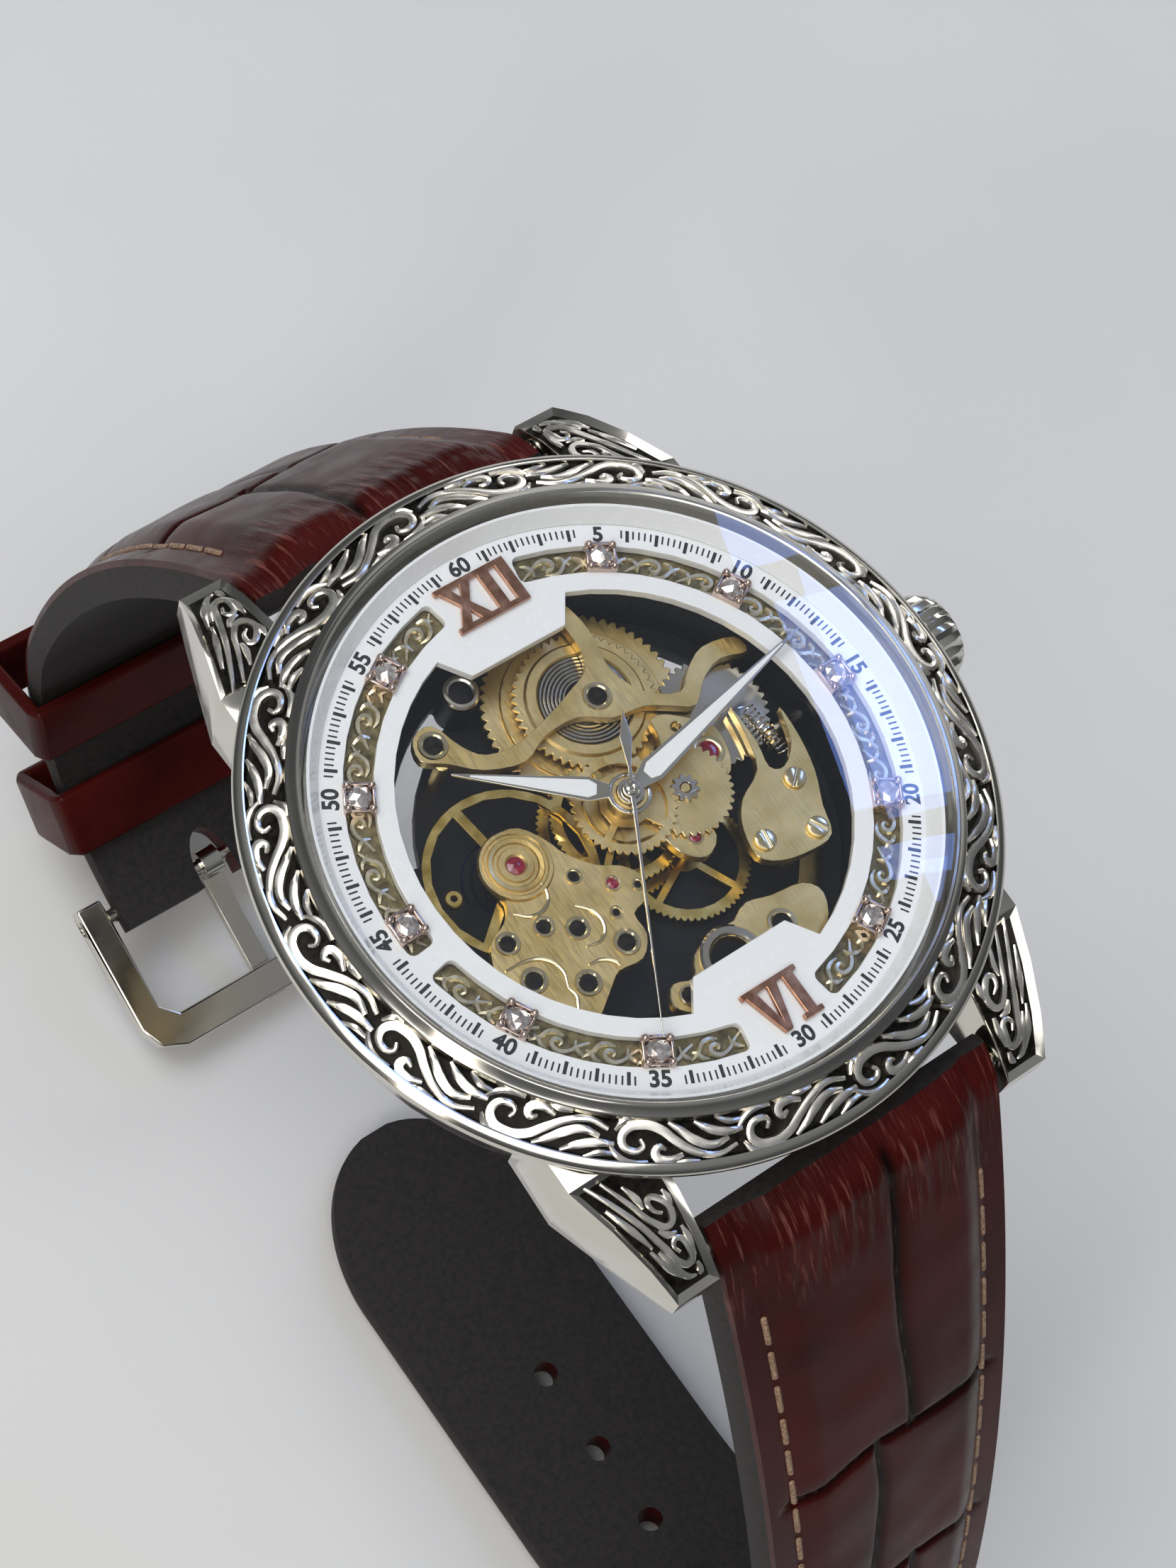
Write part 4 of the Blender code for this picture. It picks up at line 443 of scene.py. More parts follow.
# Seven turned steps with bright lips run down into the ratchet wheel's steel cover, inside a brass rim.
RATCHET_TOP = 6.2
COVER_RIM = 2.68
STEPS_FROM = 1.12
STEP_PITCH = 0.22
STEP_FLOOR = 0.04
STEP_LIP = 0.12
RIM_LIP = 0.15
step_profile = [(0.75, 0.0), (0.75, STEP_FLOOR), (1.1, STEP_FLOOR)]
for i in range(7):
    start = STEPS_FROM + STEP_PITCH * i
    step_profile += [(start, STEP_FLOOR), (start + 0.05, STEP_LIP)]
    step_profile += [(start + 0.14, STEP_LIP), (start + 0.17, STEP_FLOOR)]
step_profile += [(COVER_RIM, STEP_FLOOR), (COVER_RIM + 0.1, RIM_LIP), (3.3, RIM_LIP), (3.45, 0.0)]
step_profile = [(radius, RATCHET_TOP + height) for radius, height in step_profile]
step_metals = (polished_steel, blackened_steel, champagne_brass)
stepped_cover = spun("ratchet_steps", step_profile, 96, *step_metals, at=BARREL_AT)
# Painted shade: the floors between the bright lips are given the blackened steel; beyond the rim lies the
# brass.
for face in stepped_cover.data.polygons:
    reach = face.center.xy.length / MM
    sunk = face.normal.z > 0.5 and face.center.z / MM < RATCHET_TOP + STEP_LIP / 2
    face.material_index = 2 if reach > COVER_RIM else int(sunk)
settle(stepped_cover, "ratchet_wheel", "polished_steel")

# A weight hangs on a balance spoke: a short gilt barrel with a drilled end.
weight_profile = [(0.16, 5.85), (0.42, 5.85), (0.5, 5.92), (0.5, 6.3), (0.43, 6.37), (0.2, 6.37), (0.16, 6.2)]
settle(spun("balance_weight", weight_profile, 24, gilt_brass, at=(-10.6, 0.55)), "balance", "gilt_brass")

# Bridges
# The barrel, centre, train, keyless and lower bridges are sawn from brass plate, satin grained on top,
# and their edges are bevelled and burnished. Bushes, jewels and slotted screws sit in their holes.

BRIDGE_TOP = 7.1
BRIDGE_EDGE = 0.16
BALANCE_AT = (-7.0, 0.2)
plate_metals = (champagne_brass, burnished_highlight_brass)
for bridge in ("barrel_bridge", "centre_bridge", "train_bridge", "keyless_plate", "lower_plate"):
    refined(bridge, "case", "champagne_brass", BRIDGE_EDGE, *plate_metals, segments=1, edge_material=1)

# Synthetic ruby, ground and polished: deep pink-red, glassy.
glassy = {"Roughness": 0.08, "Coat Weight": 0.6, "Transmission Weight": 0.25}
ruby = surface("synthetic ruby polished", 0.0, glassy)
vary(ruby, 0.3, ("#6E0A24", "#B01C44"))

# Bushes: where each stands, the radius of its hole, how far its lip rises, and whether a jewel fills it.
bushes = [
    (2.7, 6.1, 0.55, 0.1, False), (-6.8, 8.2, 0.55, 0.1, False), (6.1, 0.3, 0.6, 0.07, True),
    (2.4, -3.45, 0.3, 0.06, True), (3.5, -9.9, 0.55, 0.1, False), (-3.3, -10.6, 0.4, 0.1, False),
    (-4.66, -1.9, 0.3, 0.1, False), (-3.1, -3.3, 0.3, 0.1, True), (-9.9, -3.2, 0.45, 0.1, False),
    (-7.7, -3.4, 0.4, 0.1, False), (-6.2, -4.4, 0.45, 0.1, False), (-4.4, -6.4, 0.5, 0.1, False),
    (-9.9, -5.6, 0.5, 0.1, False), (-7.5, -7.2, 0.5, 0.1, False), (-1.95, -4.05, 0.24, 0.08, False),
    (-3.9, -4.75, 0.26, 0.08, False),
]
BUSH_STEPS = 28
bush_profile = [(1.0, -0.3), (1.0, 0.3), (1.16, 1.0), (1.46, 1.0), (1.6, -0.3)]
bush_ring = spun("bush", bush_profile, BUSH_STEPS, burnished_highlight_brass)
# Painted shade: a dark disc of blackened steel closes each open hole and stands for its depth.
bush_hole_shade = spun("hole_shade", [(0.0, 0.12), (0.55, 0.1), (1.02, -0.05)], BUSH_STEPS, blackened_steel, ring=False)
jewel_profile = [(0.0, 0.85), (0.35, 0.78), (0.75, 0.5), (1.02, -0.05)]
bush_jewel = spun("jewel", jewel_profile, BUSH_STEPS, ruby, ring=False)


def placed_copy(piece, x, y, z, width, height, turn=0.0):
    """A copy of a small piece with its own mesh, sized, turned about its axis and set down."""
    mesh = piece.data.copy()
    size = Matrix.Diagonal((width, width, height, 1.0))
    mesh.transform(Matrix.Translation(Vector((x, y, z)) * MM) @ Matrix.Rotation(turn, 4, "Z") @ size)
    return add_piece(piece.name, mesh)


lips = [placed_copy(bush_ring, x, y, BRIDGE_TOP, radius, lip) for x, y, radius, lip, jewel in bushes]
hole_shades = [placed_copy(bush_hole_shade, x, y, BRIDGE_TOP, r, lip) for x, y, r, lip, jewel in bushes if not jewel]
jewels = [placed_copy(bush_jewel, x, y, BRIDGE_TOP, r, lip) for x, y, r, lip, jewel in bushes if jewel]
for pattern in (bush_ring, bush_hole_shade, bush_jewel):
    bpy.data.objects.remove(pattern)
settle(joined("bridge_bushes", lips), "case", "champagne_brass")
settle(joined("bridge_hole_shades", hole_shades), "case", "black_plate")
settle(joined("bridge_jewels", jewels), "case", "rose_gold")

# The balance jewel sits in a stepped brass boss of three rings.
eye_profile = [
    (0.5, 7.08), (0.5, 7.2), (0.62, 7.3), (0.95, 7.3), (1.02, 7.18), (1.2, 7.18), (1.28, 7.3), (1.5, 7.33),
    (1.58, 7.2), (1.72, 7.2), (1.8, 7.28), (1.98, 7.28), (2.08, 7.08),
]
settle(spun("balance_boss", eye_profile, 64, champagne_brass, at=BALANCE_AT), "case", "champagne_brass")
eye_jewel = [(0.0, 7.3), (0.25, 7.27), (0.52, 7.16), (0.54, 7.1)]
settle(spun("balance_jewel", eye_jewel, 32, ruby, ring=False, at=BALANCE_AT), "case", "rose_gold")

# A large polished ring stands on the lower plate, and a steel one round a black jewel by the barrel.
lower_profile = [(1.25, 7.08), (1.25, 7.22), (1.36, 7.32), (1.7, 7.32), (1.84, 7.2), (1.86, 7.08)]
settle(spun("lower_ring", lower_profile, 48, polished_steel, at=(0.0, -10.1)), "case", "polished_steel")
JEWEL_REACH = 0.64
JEWEL_TOP = 6.36
stud_profile = [
    (0.0, 6.35), (0.62, 6.3), (0.66, 6.42), (0.78, 6.5), (0.98, 6.5), (1.08, 6.38), (1.08, 3.72), (0.0, 3.72),
]
jewel_stud = spun("jewel_stud", stud_profile, 40, black_plate, polished_steel, ring=False, at=(-3.4, 10.3))
for face in jewel_stud.data.polygons:
    face.material_index = int(face.center.xy.length / MM > JEWEL_REACH and face.center.z / MM > JEWEL_TOP)
settle(jewel_stud, "case", "black_plate")

for number in (1, 2, 3):
    refined(f"keyless_screw_{number}", "case", "polished_steel", FINE_EDGE, burnished_highlight_brass)

# Raised leaf lines are engraved round the train bridge's holes, and a coil spring lies in the keyless plate.
leaf_lines = [
    [(-8.7, -2.0), (-7.9, -2.6), (-6.9, -2.5), (-6.4, -1.7), (-6.6, -0.9)],
    [(-10.9, -4.4), (-9.6, -4.5), (-8.8, -4.9), (-8.3, -5.9), (-8.6, -6.9)],
    [(-5.6, -3.3), (-5.0, -4.0), (-4.9, -5.0), (-5.5, -5.6), (-6.4, -5.5)],
    [(-6.9, -6.4), (-6.2, -6.5), (-5.6, -7.0), (-5.5, -7.3)],
    [(-9.0, -8.4), (-8.7, -7.9), (-8.5, -7.5), (-8.6, -6.9)],
]
LEAF_STROKE = 0.13
LEAF_SEAT = 0.02
raised = [[(x, y, BRIDGE_TOP + LEAF_SEAT) for x, y in line] for line in leaf_lines]
leaf_relief = strokes("bridge_leaf_lines", raised, LEAF_STROKE, burnished_highlight_brass)
leaf_relief.scale = (MM, MM, MM)
settle(leaf_relief, "case", "champagne_brass")

COIL_TURNS = 10
COIL_RADIUS = 0.36
COIL_WIRE = 0.085
COIL_HEIGHT = 6.72
POINTS_PER_TURN = 8
coil_start = Vector((9.72, 1.35, COIL_HEIGHT))
coil_end = Vector((9.95, -1.75, COIL_HEIGHT))
coil = [(8.95, 1.65, COIL_HEIGHT), (9.4, 1.6, COIL_HEIGHT)]
for i in range(COIL_TURNS * POINTS_PER_TURN + 1):
    turn = math.tau * i / POINTS_PER_TURN
    middle = coil_start.lerp(coil_end, i / (COIL_TURNS * POINTS_PER_TURN))
    coil.append((middle.x + COIL_RADIUS * math.cos(turn), middle.y, middle.z + COIL_RADIUS * math.sin(turn)))
coil += [(10.0, -2.1, COIL_HEIGHT), (9.7, -2.7, COIL_HEIGHT)]
click_spring = strokes("keyless_coil_spring", [coil], COIL_WIRE, polished_steel, 1, 2)
click_spring.scale = (MM, MM, MM)
settle(click_spring, "case", "polished_steel")

# Motion work
# Under the hands, the brass hour and minute wheels gear the hour hand down from the minute hand, through the
# steel cannon pinion and the steel pinion on the minute wheel.

PINION_FROM = 7.38
MOTION_EDGE = 0.025
CANNON_EDGE = 0.02
refined("hour_wheel", "hour", "gilt_brass", MOTION_EDGE, *plate_metals, segments=1, edge_material=1)
gear = ("minute_wheel", "minute_wheel", "gilt_brass", MOTION_EDGE, *plate_metals, polished_steel)
minute_wheel = refined(*gear, segments=1, edge_material=1)
for face in minute_wheel.data.polygons:
    if face.center.z / MM > PINION_FROM:
        face.material_index = 2
refined("cannon_pinion", "minute", "polished_steel", CANNON_EDGE, polished_steel, segments=1)

# Dial
# An engraved brass ring lies under a ring of white-lacquered brass with three windows and two pads.
# The minute scale is printed on the lacquer in black, and a white sloped ring closes the gap to the crystal.

# Brass, engraved and toned olive: dull gold with darker patches some 0.6 mm across.
olive_brass = surface("brass engraved and toned")
vary(olive_brass, 0.6, ("#5C533A", "#8F8462"), (0.34, 0.52), 0.015)

# The same brass where the burin has thrown it up bright.
bright_olive = surface("brass cut bright", values={"Base Color": "#DCD2B2"})
vary(bright_olive, 0.5, roughness=(0.22, 0.36))

# Lacquer, sprayed and baked on brass: clean white, glossy, with the least orange peel at 0.8 mm.
white_lacquer = surface("lacquer sprayed and baked", 0.0, {"Base Color": "#EDEFEE", "Coat Weight": 0.25})
vary(white_lacquer, 0.8, roughness=(0.2, 0.3), bump=0.002)

# Printing ink, pad printed: dense black, with tiny thin spots about 0.1 mm across.
black_ink = surface("ink pad printed", 0.0, {"Roughness": 0.5})
vary(black_ink, 0.1, ("#0C0D10", "#24262A"))

DIAL_TOP = 8.43
DIAL_EDGE = 0.07
ENGRAVED_TOP = 7.78
refined("engraved_plate", "case", "olive_brass", FINE_EDGE, olive_brass, segments=1)
refined("dial_ring", "case", "white_enamel", DIAL_EDGE, white_lacquer)
rehaut_profile = [
    (17.1, 9.5), (16.52, 8.5), (16.56, 8.47), (17.26, 8.47), (17.26, 9.5), (17.22, 9.51), (17.14, 9.51),
]
settle(spun("rehaut_finished", rehaut_profile, 144, white_lacquer), "case", "white_enamel", "rehaut")

# One scroll of the engraving: two curls that part from a stem, copied round the middle of the windows.
WINDOW_CIRCLE = 14.4
ENGRAVED_STROKE = 0.21
ENGRAVED_SEAT = 0.02
scroll_lines = [
    [(-1.55, -0.45), (-1.0, -0.1), (-0.45, 0.35), (0.1, 0.42), (0.4, 0.12), (0.2, -0.18), (-0.1, -0.08),
     (-0.02, 0.14)],
    [(1.55, 0.45), (1.1, 0.1), (0.75, -0.4), (0.3, -0.55), (-0.15, -0.45)],
    [(0.6, 0.5), (0.95, 0.38), (1.15, 0.12), (1.4, 0.0)],
    [(-1.4, 0.4), (-1.1, 0.25), (-0.85, 0.0), (-0.8, -0.4)],
]
lifted = [[(s, t, ENGRAVED_SEAT) for s, t in line] for line in scroll_lines]
scroll = strokes("engraved_scroll", lifted, ENGRAVED_STROKE, bright_olive, 1, 4)


def round_copy(piece, bearing_deg, radius, place):
    """A copy of a flat motif wrapped round the watch's axis; place gives a point's radius and height."""
    mesh = piece.data.copy()
    for vertex in mesh.vertices:
        along, across, up = vertex.co
        out, z = place(across, up)
        angle = math.radians(bearing_deg) - along / radius
        vertex.co = Vector((out * math.cos(angle), out * math.sin(angle), z)) * MM
    return add_piece(piece.name, mesh)


def on_engraving(across, up):
    """Radius and height of a point this far out from the windows' middle and above the engraved plate."""
    return WINDOW_CIRCLE + across, ENGRAVED_TOP + up


scroll_angles = [12.0 * i - 72.0 for i in range(13)]
scroll_angles += [12.0 * i + 107.0 for i in range(7)] + [11.2 * i + 197.5 for i in range(6)]
scrolls = [round_copy(scroll, bearing, WINDOW_CIRCLE, on_engraving) for bearing in scroll_angles]
bpy.data.objects.remove(scroll)
settle(joined("engraved_scrolls", scrolls), "case", "olive_brass")

PRINT_THICK = 0.016
TICK_OUTER = 16.22
MINUTE_INNER = 15.5
MINUTE_WIDTH = 0.2
FIFTH_INNER = 15.72
FIFTH_WIDTH = 0.1
FIFTH_DEG = 1.2
NUMERAL_PITCH_DEG = 30.0
NUMERAL_ROOM_DEG = 4.6


def print_tick(clock_deg, inner, width):
    """A printed stroke from this radius to the outside of the minute track."""
    bpy.ops.mesh.primitive_cube_add(size=1.0)
    tick = bpy.context.active_object
    size = Matrix.Diagonal((width * MM, (TICK_OUTER - inner) * MM, PRINT_THICK * MM, 1.0))
    rise = Matrix.Translation((0.0, (TICK_OUTER + inner) / 2 * MM, DIAL_TOP * MM))
    tick.data.transform(Matrix.Rotation(-math.radians(clock_deg), 4, "Z") @ rise @ size)
    tick.data.materials.append(black_ink)
    return tick


ticks = []
for fifth in range(300):
    clock = fifth * FIFTH_DEG
    from_numeral = abs((clock + NUMERAL_PITCH_DEG / 2) % NUMERAL_PITCH_DEG - NUMERAL_PITCH_DEG / 2)
    if from_numeral > NUMERAL_ROOM_DEG:
        inner, width = (FIFTH_INNER, FIFTH_WIDTH) if fifth % 5 else (MINUTE_INNER, MINUTE_WIDTH)
        ticks.append(print_tick(clock, inner, width))
settle(joined("minute_ticks", ticks), "case", "white_enamel")

FIGURE_CIRCLE = 15.87
FIGURE_SIZE = 1.25
FIGURE_SWELL = 0.04
figures = []
for minute in range(5, 65, 5):
    clock = math.radians(6.0 * minute)
    bpy.ops.object.text_add()
    figure = bpy.context.active_object
    figure.data.body = str(minute)
    figure.data.size = FIGURE_SIZE
    figure.data.offset = FIGURE_SWELL
    figure.data.extrude = PRINT_THICK / 2
    figure.data.align_x = "CENTER"
    figure.data.align_y = "CENTER"
    activate(figure)
    bpy.ops.object.convert(target="MESH")
    figure = bpy.context.active_object
    upright = math.pi if 100.0 < math.degrees(clock) < 260.0 else 0.0
    place = Matrix.Translation((FIGURE_CIRCLE * math.sin(clock), FIGURE_CIRCLE * math.cos(clock), DIAL_TOP))
    figure.data.transform(Matrix.Scale(MM, 4) @ place @ Matrix.Rotation(upright - clock, 4, "Z"))
    figure.data.materials.append(black_ink)
    figures.append(figure)
settle(joined("minute_figures", figures), "case", "white_enamel")

# Applied indices
# Ten square stones in claw settings and the two Roman numerals are made apart and pressed into the dial.
# The numerals are rose-gold plated, with bright bevels and flat tops.

# Rose gold, plated on brass and polished: coppery, with a paler sheen in patches of 0.7 mm.
rose_gold = surface("rose gold plated and polished")
vary(rose_gold, 0.7, ("#A87254", "#CF9F82"), (0.15, 0.28))

# Rose gold plated thinly over steel on the settings: a pale pinkish silver.
pale_gold = surface("rose gold plated thin", values={"Base Color": "#C4B0A4"})
vary(pale_gold, 0.5, roughness=(0.12, 0.26))

# White stone, rose cut and foil backed: glassy facets that each mirror another part of the room.
white_stone = surface("white stone rose cut", 0.85, {"Roughness": 0.03, "Coat Weight": 0.6})
vary(white_stone, 0.25, ("#B9A69A", "#FFFFFF"))

NUMERAL_EDGE = 0.09
refined("numeral_xii", "case", "rose_gold", NUMERAL_EDGE, rose_gold)
refined("numeral_vi", "case", "rose_gold", NUMERAL_EDGE, rose_gold)

STONE_SIZE = 1.72
SETTING_BOTTOM = 7.82
SETTING_TOP = 8.8
SETTING_WALL = 0.16
SETTING_HOLLOW = 0.3
HOLLOW_DRAFT = 0.05
CLAW_INSET = 0.2
CLAW_SINK = 0.02
CLAW_SIZE = (0.24, 0.24, 0.3, 1.0)
GEM_SIZE = (0.74, 0.74, 0.44, 1.0)
GEM_SINK = 0.16
# The setting: a square box whose top is hollowed out and whose four corners stand up as claws.
bpy.ops.mesh.primitive_cube_add(size=1.0)
setting = bpy.context.active_object
setting.name = "setting"
middle = Matrix.Translation((0.0, 0.0, (SETTING_BOTTOM + SETTING_TOP) / 2))
setting.data.transform(middle @ Matrix.Diagonal((STONE_SIZE, STONE_SIZE, SETTING_TOP - SETTING_BOTTOM, 1.0)))
setting.data.transform(Matrix.Scale(MM, 4))
setting.data.materials.append(pale_gold)
select_faces(setting, lambda middle, normal: normal.z > 0.5)
bpy.ops.mesh.inset(thickness=SETTING_WALL * MM)
bpy.ops.mesh.inset(thickness=HOLLOW_DRAFT * MM, depth=-SETTING_HOLLOW * MM)
bpy.ops.object.mode_set(mode="OBJECT")
break_edges(setting, FINE_EDGE)
claws = []
for turn in range(4):
    bpy.ops.mesh.primitive_uv_sphere_add(segments=12, ring_count=8, radius=1.0)
    claw = bpy.context.active_object
    corner = STONE_SIZE / 2 - CLAW_INSET
    claw.data.transform(Matrix.Diagonal(CLAW_SIZE))
    claw.data.transform(Matrix.Translation((corner, corner, SETTING_TOP - CLAW_SINK)))
    claw.data.transform(Matrix.Scale(MM, 4) @ Matrix.Rotation(turn * math.pi / 2, 4, "Z"))
    claw.data.materials.append(pale_gold)
    claws.append(claw)
setting = joined("setting", [setting] + claws)

# The stone: a low dome of triangular facets, its points pressed in by turns, cut off flat below.
bpy.ops.mesh.primitive_ico_sphere_add(subdivisions=2, radius=1.0)
gem = bpy.context.active_object
gem.name = "gem"
for i, vertex in enumerate(gem.data.vertices):
    vertex.co *= 1.0 if i % 3 else 0.9
with editing(gem):
    bpy.ops.mesh.bisect(plane_co=(0.0, 0.0, -0.1), plane_no=(0.0, 0.0, 1.0), use_fill=True, clear_inner=True)
gem.data.transform(Matrix.Translation((0.0, 0.0, SETTING_TOP - GEM_SINK)) @ Matrix.Diagonal(GEM_SIZE))
gem.data.transform(Matrix.Scale(MM, 4))
gem.data.materials.append(white_stone)

for hour in (1, 2, 3, 4, 5, 7, 8, 9, 10, 11):
    clock = math.radians(30.0 * hour)
    x, y = WINDOW_CIRCLE * math.sin(clock), WINDOW_CIRCLE * math.cos(clock)
    box = placed_copy(setting, x, y, 0.0, 1.0, 1.0, -clock)
    box.name = f"stone_setting_{hour:02d}"
    settle(box, "case", "rose_gold", f"stone_index_{hour:02d}")
    stone = placed_copy(gem, x, y, 0.0, 1.0, 1.0, -clock)
    stone.name = f"stone_{hour:02d}"
    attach(stone, "case")
bpy.data.objects.remove(setting)
bpy.data.objects.remove(gem)

# Hands
# The hour and minute hands are stamped from steel, polished, and filled with white lacquer.
# The seconds hand is a fine polished needle with a leaf-shaped counterweight.

HOUR_CLOCK_DEG = 307.0
MINUTE_CLOCK_DEG = 77.2
FILL_RISE = 0.045
FILL_EDGE = 0.02
for hand, body, edge in (
    ("hour_hand", "hour", 0.07), ("minute_hand", "minute", 0.07), ("seconds_hand", "seconds", 0.03),
):
    refined(hand, body, "polished_steel", edge, polished_steel)


def hand_fill(name, outline, top, clock_deg, body):
    """A white fill inside a hand's outline, standing a hair above the polished frame."""
    around = outline + [(-x, y) for x, y in reversed(outline)]
    mesh = bpy.data.meshes.new(name)
    mesh.from_pydata([(x * MM, y * MM, top * MM) for x, y in around], [], [range(len(around))])
    piece = add_piece(name, mesh)
    with editing(piece):
        bpy.ops.mesh.normals_make_consistent(inside=False)
        bpy.ops.mesh.extrude_region_move(TRANSFORM_OT_translate={"value": (0.0, 0.0, FILL_RISE * MM)})
        bpy.ops.mesh.select_all(action="SELECT")
        bpy.ops.mesh.normals_make_consistent(inside=False)
    piece.data.transform(Matrix.Rotation(-math.radians(clock_deg), 4, "Z"))
    piece.data.materials.append(white_lacquer)
    break_edges(piece, FILL_EDGE, 1)
    settle(piece, body, "white_enamel")


hand_fill("hour_hand_fill", [(0.3, 1.8), (0.52, 2.25), (0.05, 8.6)], 8.95, HOUR_CLOCK_DEG, "hour")
hand_fill("minute_hand_fill", [(0.3, 1.35), (0.52, 1.85), (0.045, 12.9)], 9.25, MINUTE_CLOCK_DEG, "minute")
cap_profile = [(0.13, 9.5), (0.13, 9.62), (0.2, 9.67), (0.34, 9.64), (0.42, 9.56), (0.42, 9.5)]
settle(spun("hand_cap", cap_profile, 32, polished_steel), "seconds", "polished_steel")

# Crystal
# A slightly domed mineral crystal is pressed into the bezel over the dial.
# It is ground clear on both faces, and thinner at its rim than over the hands.

CRYSTAL_RADIUS = 17.62
CRYSTAL_UNDER = 9.54
UNDER_RISE = 0.35
CRYSTAL_SIDE_TOP = 10.2
CRYSTAL_TOP = 10.29
TOP_RISE = 0.55
SIDE_BEVEL = 0.08
DOME_STEPS = 12

# Mineral glass, pressed and polished: clear, mirroring the room more towards its edge.
clear = {"Base Color": "#F4F8FF", "Roughness": 0.0}
crystal_glass = surface("mineral glass pressed and polished", values=clear)
see_through(crystal_glass, 1.5)
crystal_profile = []
for i in range(DOME_STEPS + 1):
    part = i / DOME_STEPS
    crystal_profile.append((CRYSTAL_RADIUS * part, CRYSTAL_UNDER + UNDER_RISE * (1 - part ** 2)))
crystal_profile.append((CRYSTAL_RADIUS, CRYSTAL_SIDE_TOP))
for i in range(DOME_STEPS + 1):
    part = 1 - i / DOME_STEPS
    crystal_profile.append(((CRYSTAL_RADIUS - SIDE_BEVEL) * part, CRYSTAL_TOP + TOP_RISE * (1 - part ** 2)))
crystal = spun("crystal_finished", crystal_profile, 144, crystal_glass, ring=False)
settle(crystal, "case", "crystal_glass", "crystal")

# Bezel
# The steel bezel is cast with a sunk channel between two polished rims, pressed down over the case.
# In the channel a running scroll stands in relief against a blackened floor.

CHANNEL_INNER = 18.41
CHANNEL_OUTER = 20.38
CHANNEL_LOW = 8.3
CHANNEL_HIGH = 9.45
BEZEL_PROFILE = [
    (17.65, 7.93), (20.82, 7.93), (20.95, 8.0), (21.0, 8.12), (21.0, 8.4), (20.94, 8.52), (20.72, 8.7),
    (20.5, 8.8), (20.42, 8.78), (20.36, 8.5), (20.2, 8.42), (18.55, 9.2), (18.42, 9.4), (18.4, 9.76),
    (18.32, 9.84), (18.08, 9.97), (17.98, 10.12), (17.86, 10.2), (17.72, 10.2), (17.65, 10.14),
]
bezel = spun("bezel_finished", BEZEL_PROFILE, 192, polished_steel, blackened_steel)
for face in bezel.data.polygons:
    reach = face.center.xy.length / MM
    in_channel = CHANNEL_INNER < reach < CHANNEL_OUTER and CHANNEL_LOW < face.center.z / MM < CHANNEL_HIGH
    face.material_index = int(in_channel)
settle(bezel, "case", "polished_steel", "bezel")

# One stretch of the running scroll: a long wave that ends in a curl, with leaves beside it.
SCROLL_LENGTH = 6.7
CHANNEL_MIDDLE = 19.38
CHANNEL_HEIGHT = 8.98
CHANNEL_SLOPE = math.radians(25.1)
BROAD_STROKE = 0.29
FINE_STROKE = 0.22
BROAD_SPREAD = 0.92
FINE_SPREAD = 0.95
RELIEF_STEEPNESS = 1.3
RELIEF_TOP = 0.24
broad_lines = [
    [(-0.1, 0.55), (0.9, 0.92), (2.1, 0.62), (3.1, -0.05), (3.95, -0.72), (4.9, -0.95), (5.75, -0.62),
     (5.9, 0.08), (5.4, 0.52), (4.8, 0.3), (4.95, -0.16)],
    [(0.3, 0.1), (1.2, 0.34), (2.1, -0.02), (2.85, -0.62), (3.5, -1.08)],
    [(-0.5, -0.25), (0.5, -0.28), (1.3, -0.55), (2.1, -1.05)],
    [(2.75, 0.72), (3.5, 0.98), (4.15, 0.72), (4.0, 0.28), (3.6, 0.4)],
]
fine_lines = [
    [(6.45, 0.35), (6.0, 0.85), (5.3, 1.12), (4.5, 1.05)],
    [(-0.6, -0.75), (0.2, -0.78), (0.9, -1.12)],
    [(6.3, -0.5), (5.9, -1.05), (5.3, -1.15)],
    [(1.9, 1.12), (2.6, 1.1), (3.1, 1.14)],
]
broad = [[(s - SCROLL_LENGTH / 2, BROAD_SPREAD * t, 0.0) for s, t in line] for line in broad_lines]
fine = [[(s - SCROLL_LENGTH / 2, FINE_SPREAD * t, 0.0) for s, t in line] for line in fine_lines]
broad_strokes = strokes("broad_strokes", broad, BROAD_STROKE, stoned_highlight_steel, 3, 4)
fine_strokes = strokes("fine_strokes", fine, FINE_STROKE, stoned_highlight_steel, 2, 4)
wave = joined("running_scroll", [broad_strokes, fine_strokes])
for point in wave.data.vertices:
    point.co.z = min(RELIEF_STEEPNESS * point.co.z, RELIEF_TOP)


def on_channel(across, up):
    """Radius and height of a point this far across the bezel's slope and above its channel floor."""
    out = CHANNEL_MIDDLE + across * math.cos(CHANNEL_SLOPE) + up * math.sin(CHANNEL_SLOPE)
    return out, CHANNEL_HEIGHT - across * math.sin(CHANNEL_SLOPE) + up * math.cos(CHANNEL_SLOPE)


def on_channel_mirrored(across, up):
    """The same for every other stretch, which is turned over."""
    return on_channel(-across, up)


WAVES = 18
waves = []
for number in range(WAVES):
    place = on_channel_mirrored if number % 2 else on_channel
    waves.append(round_copy(wave, 360.0 * number / WAVES, CHANNEL_MIDDLE, place))
bpy.data.objects.remove(wave)
bezel_relief = joined("bezel_scrolls", waves)
with editing(bezel_relief):
    bpy.ops.mesh.normals_make_consistent(inside=False)
settle(bezel_relief, "case", "polished_steel")

# Crown
# The crown is turned from steel, fluted on a milling head and screwed on the stem.
# It turns on a short steel tube that is pressed into the case.

CROWN_EDGE = 0.14
refined("crown_tube", "case", "polished_steel", FINE_EDGE, polished_steel, segments=1)
refined("crown", "crown", "polished_steel", CROWN_EDGE, polished_steel)

# Spring bars
# Each strap half hangs on a steel spring bar, a thin tube with a spring inside.
# The bar's sprung tips snap into holes in the lugs.

BAR_EDGE = 0.08
refined("spring_bar_12", "case", "polished_steel", BAR_EDGE, polished_steel)
refined("spring_bar_6", "case", "polished_steel", BAR_EDGE, polished_steel)

# Strap
# Each half is calf leather embossed with large square scales, padded along the middle and lined in black.
# It is sewn down both sides with tan thread, folded round its spring bar and glued back on itself.

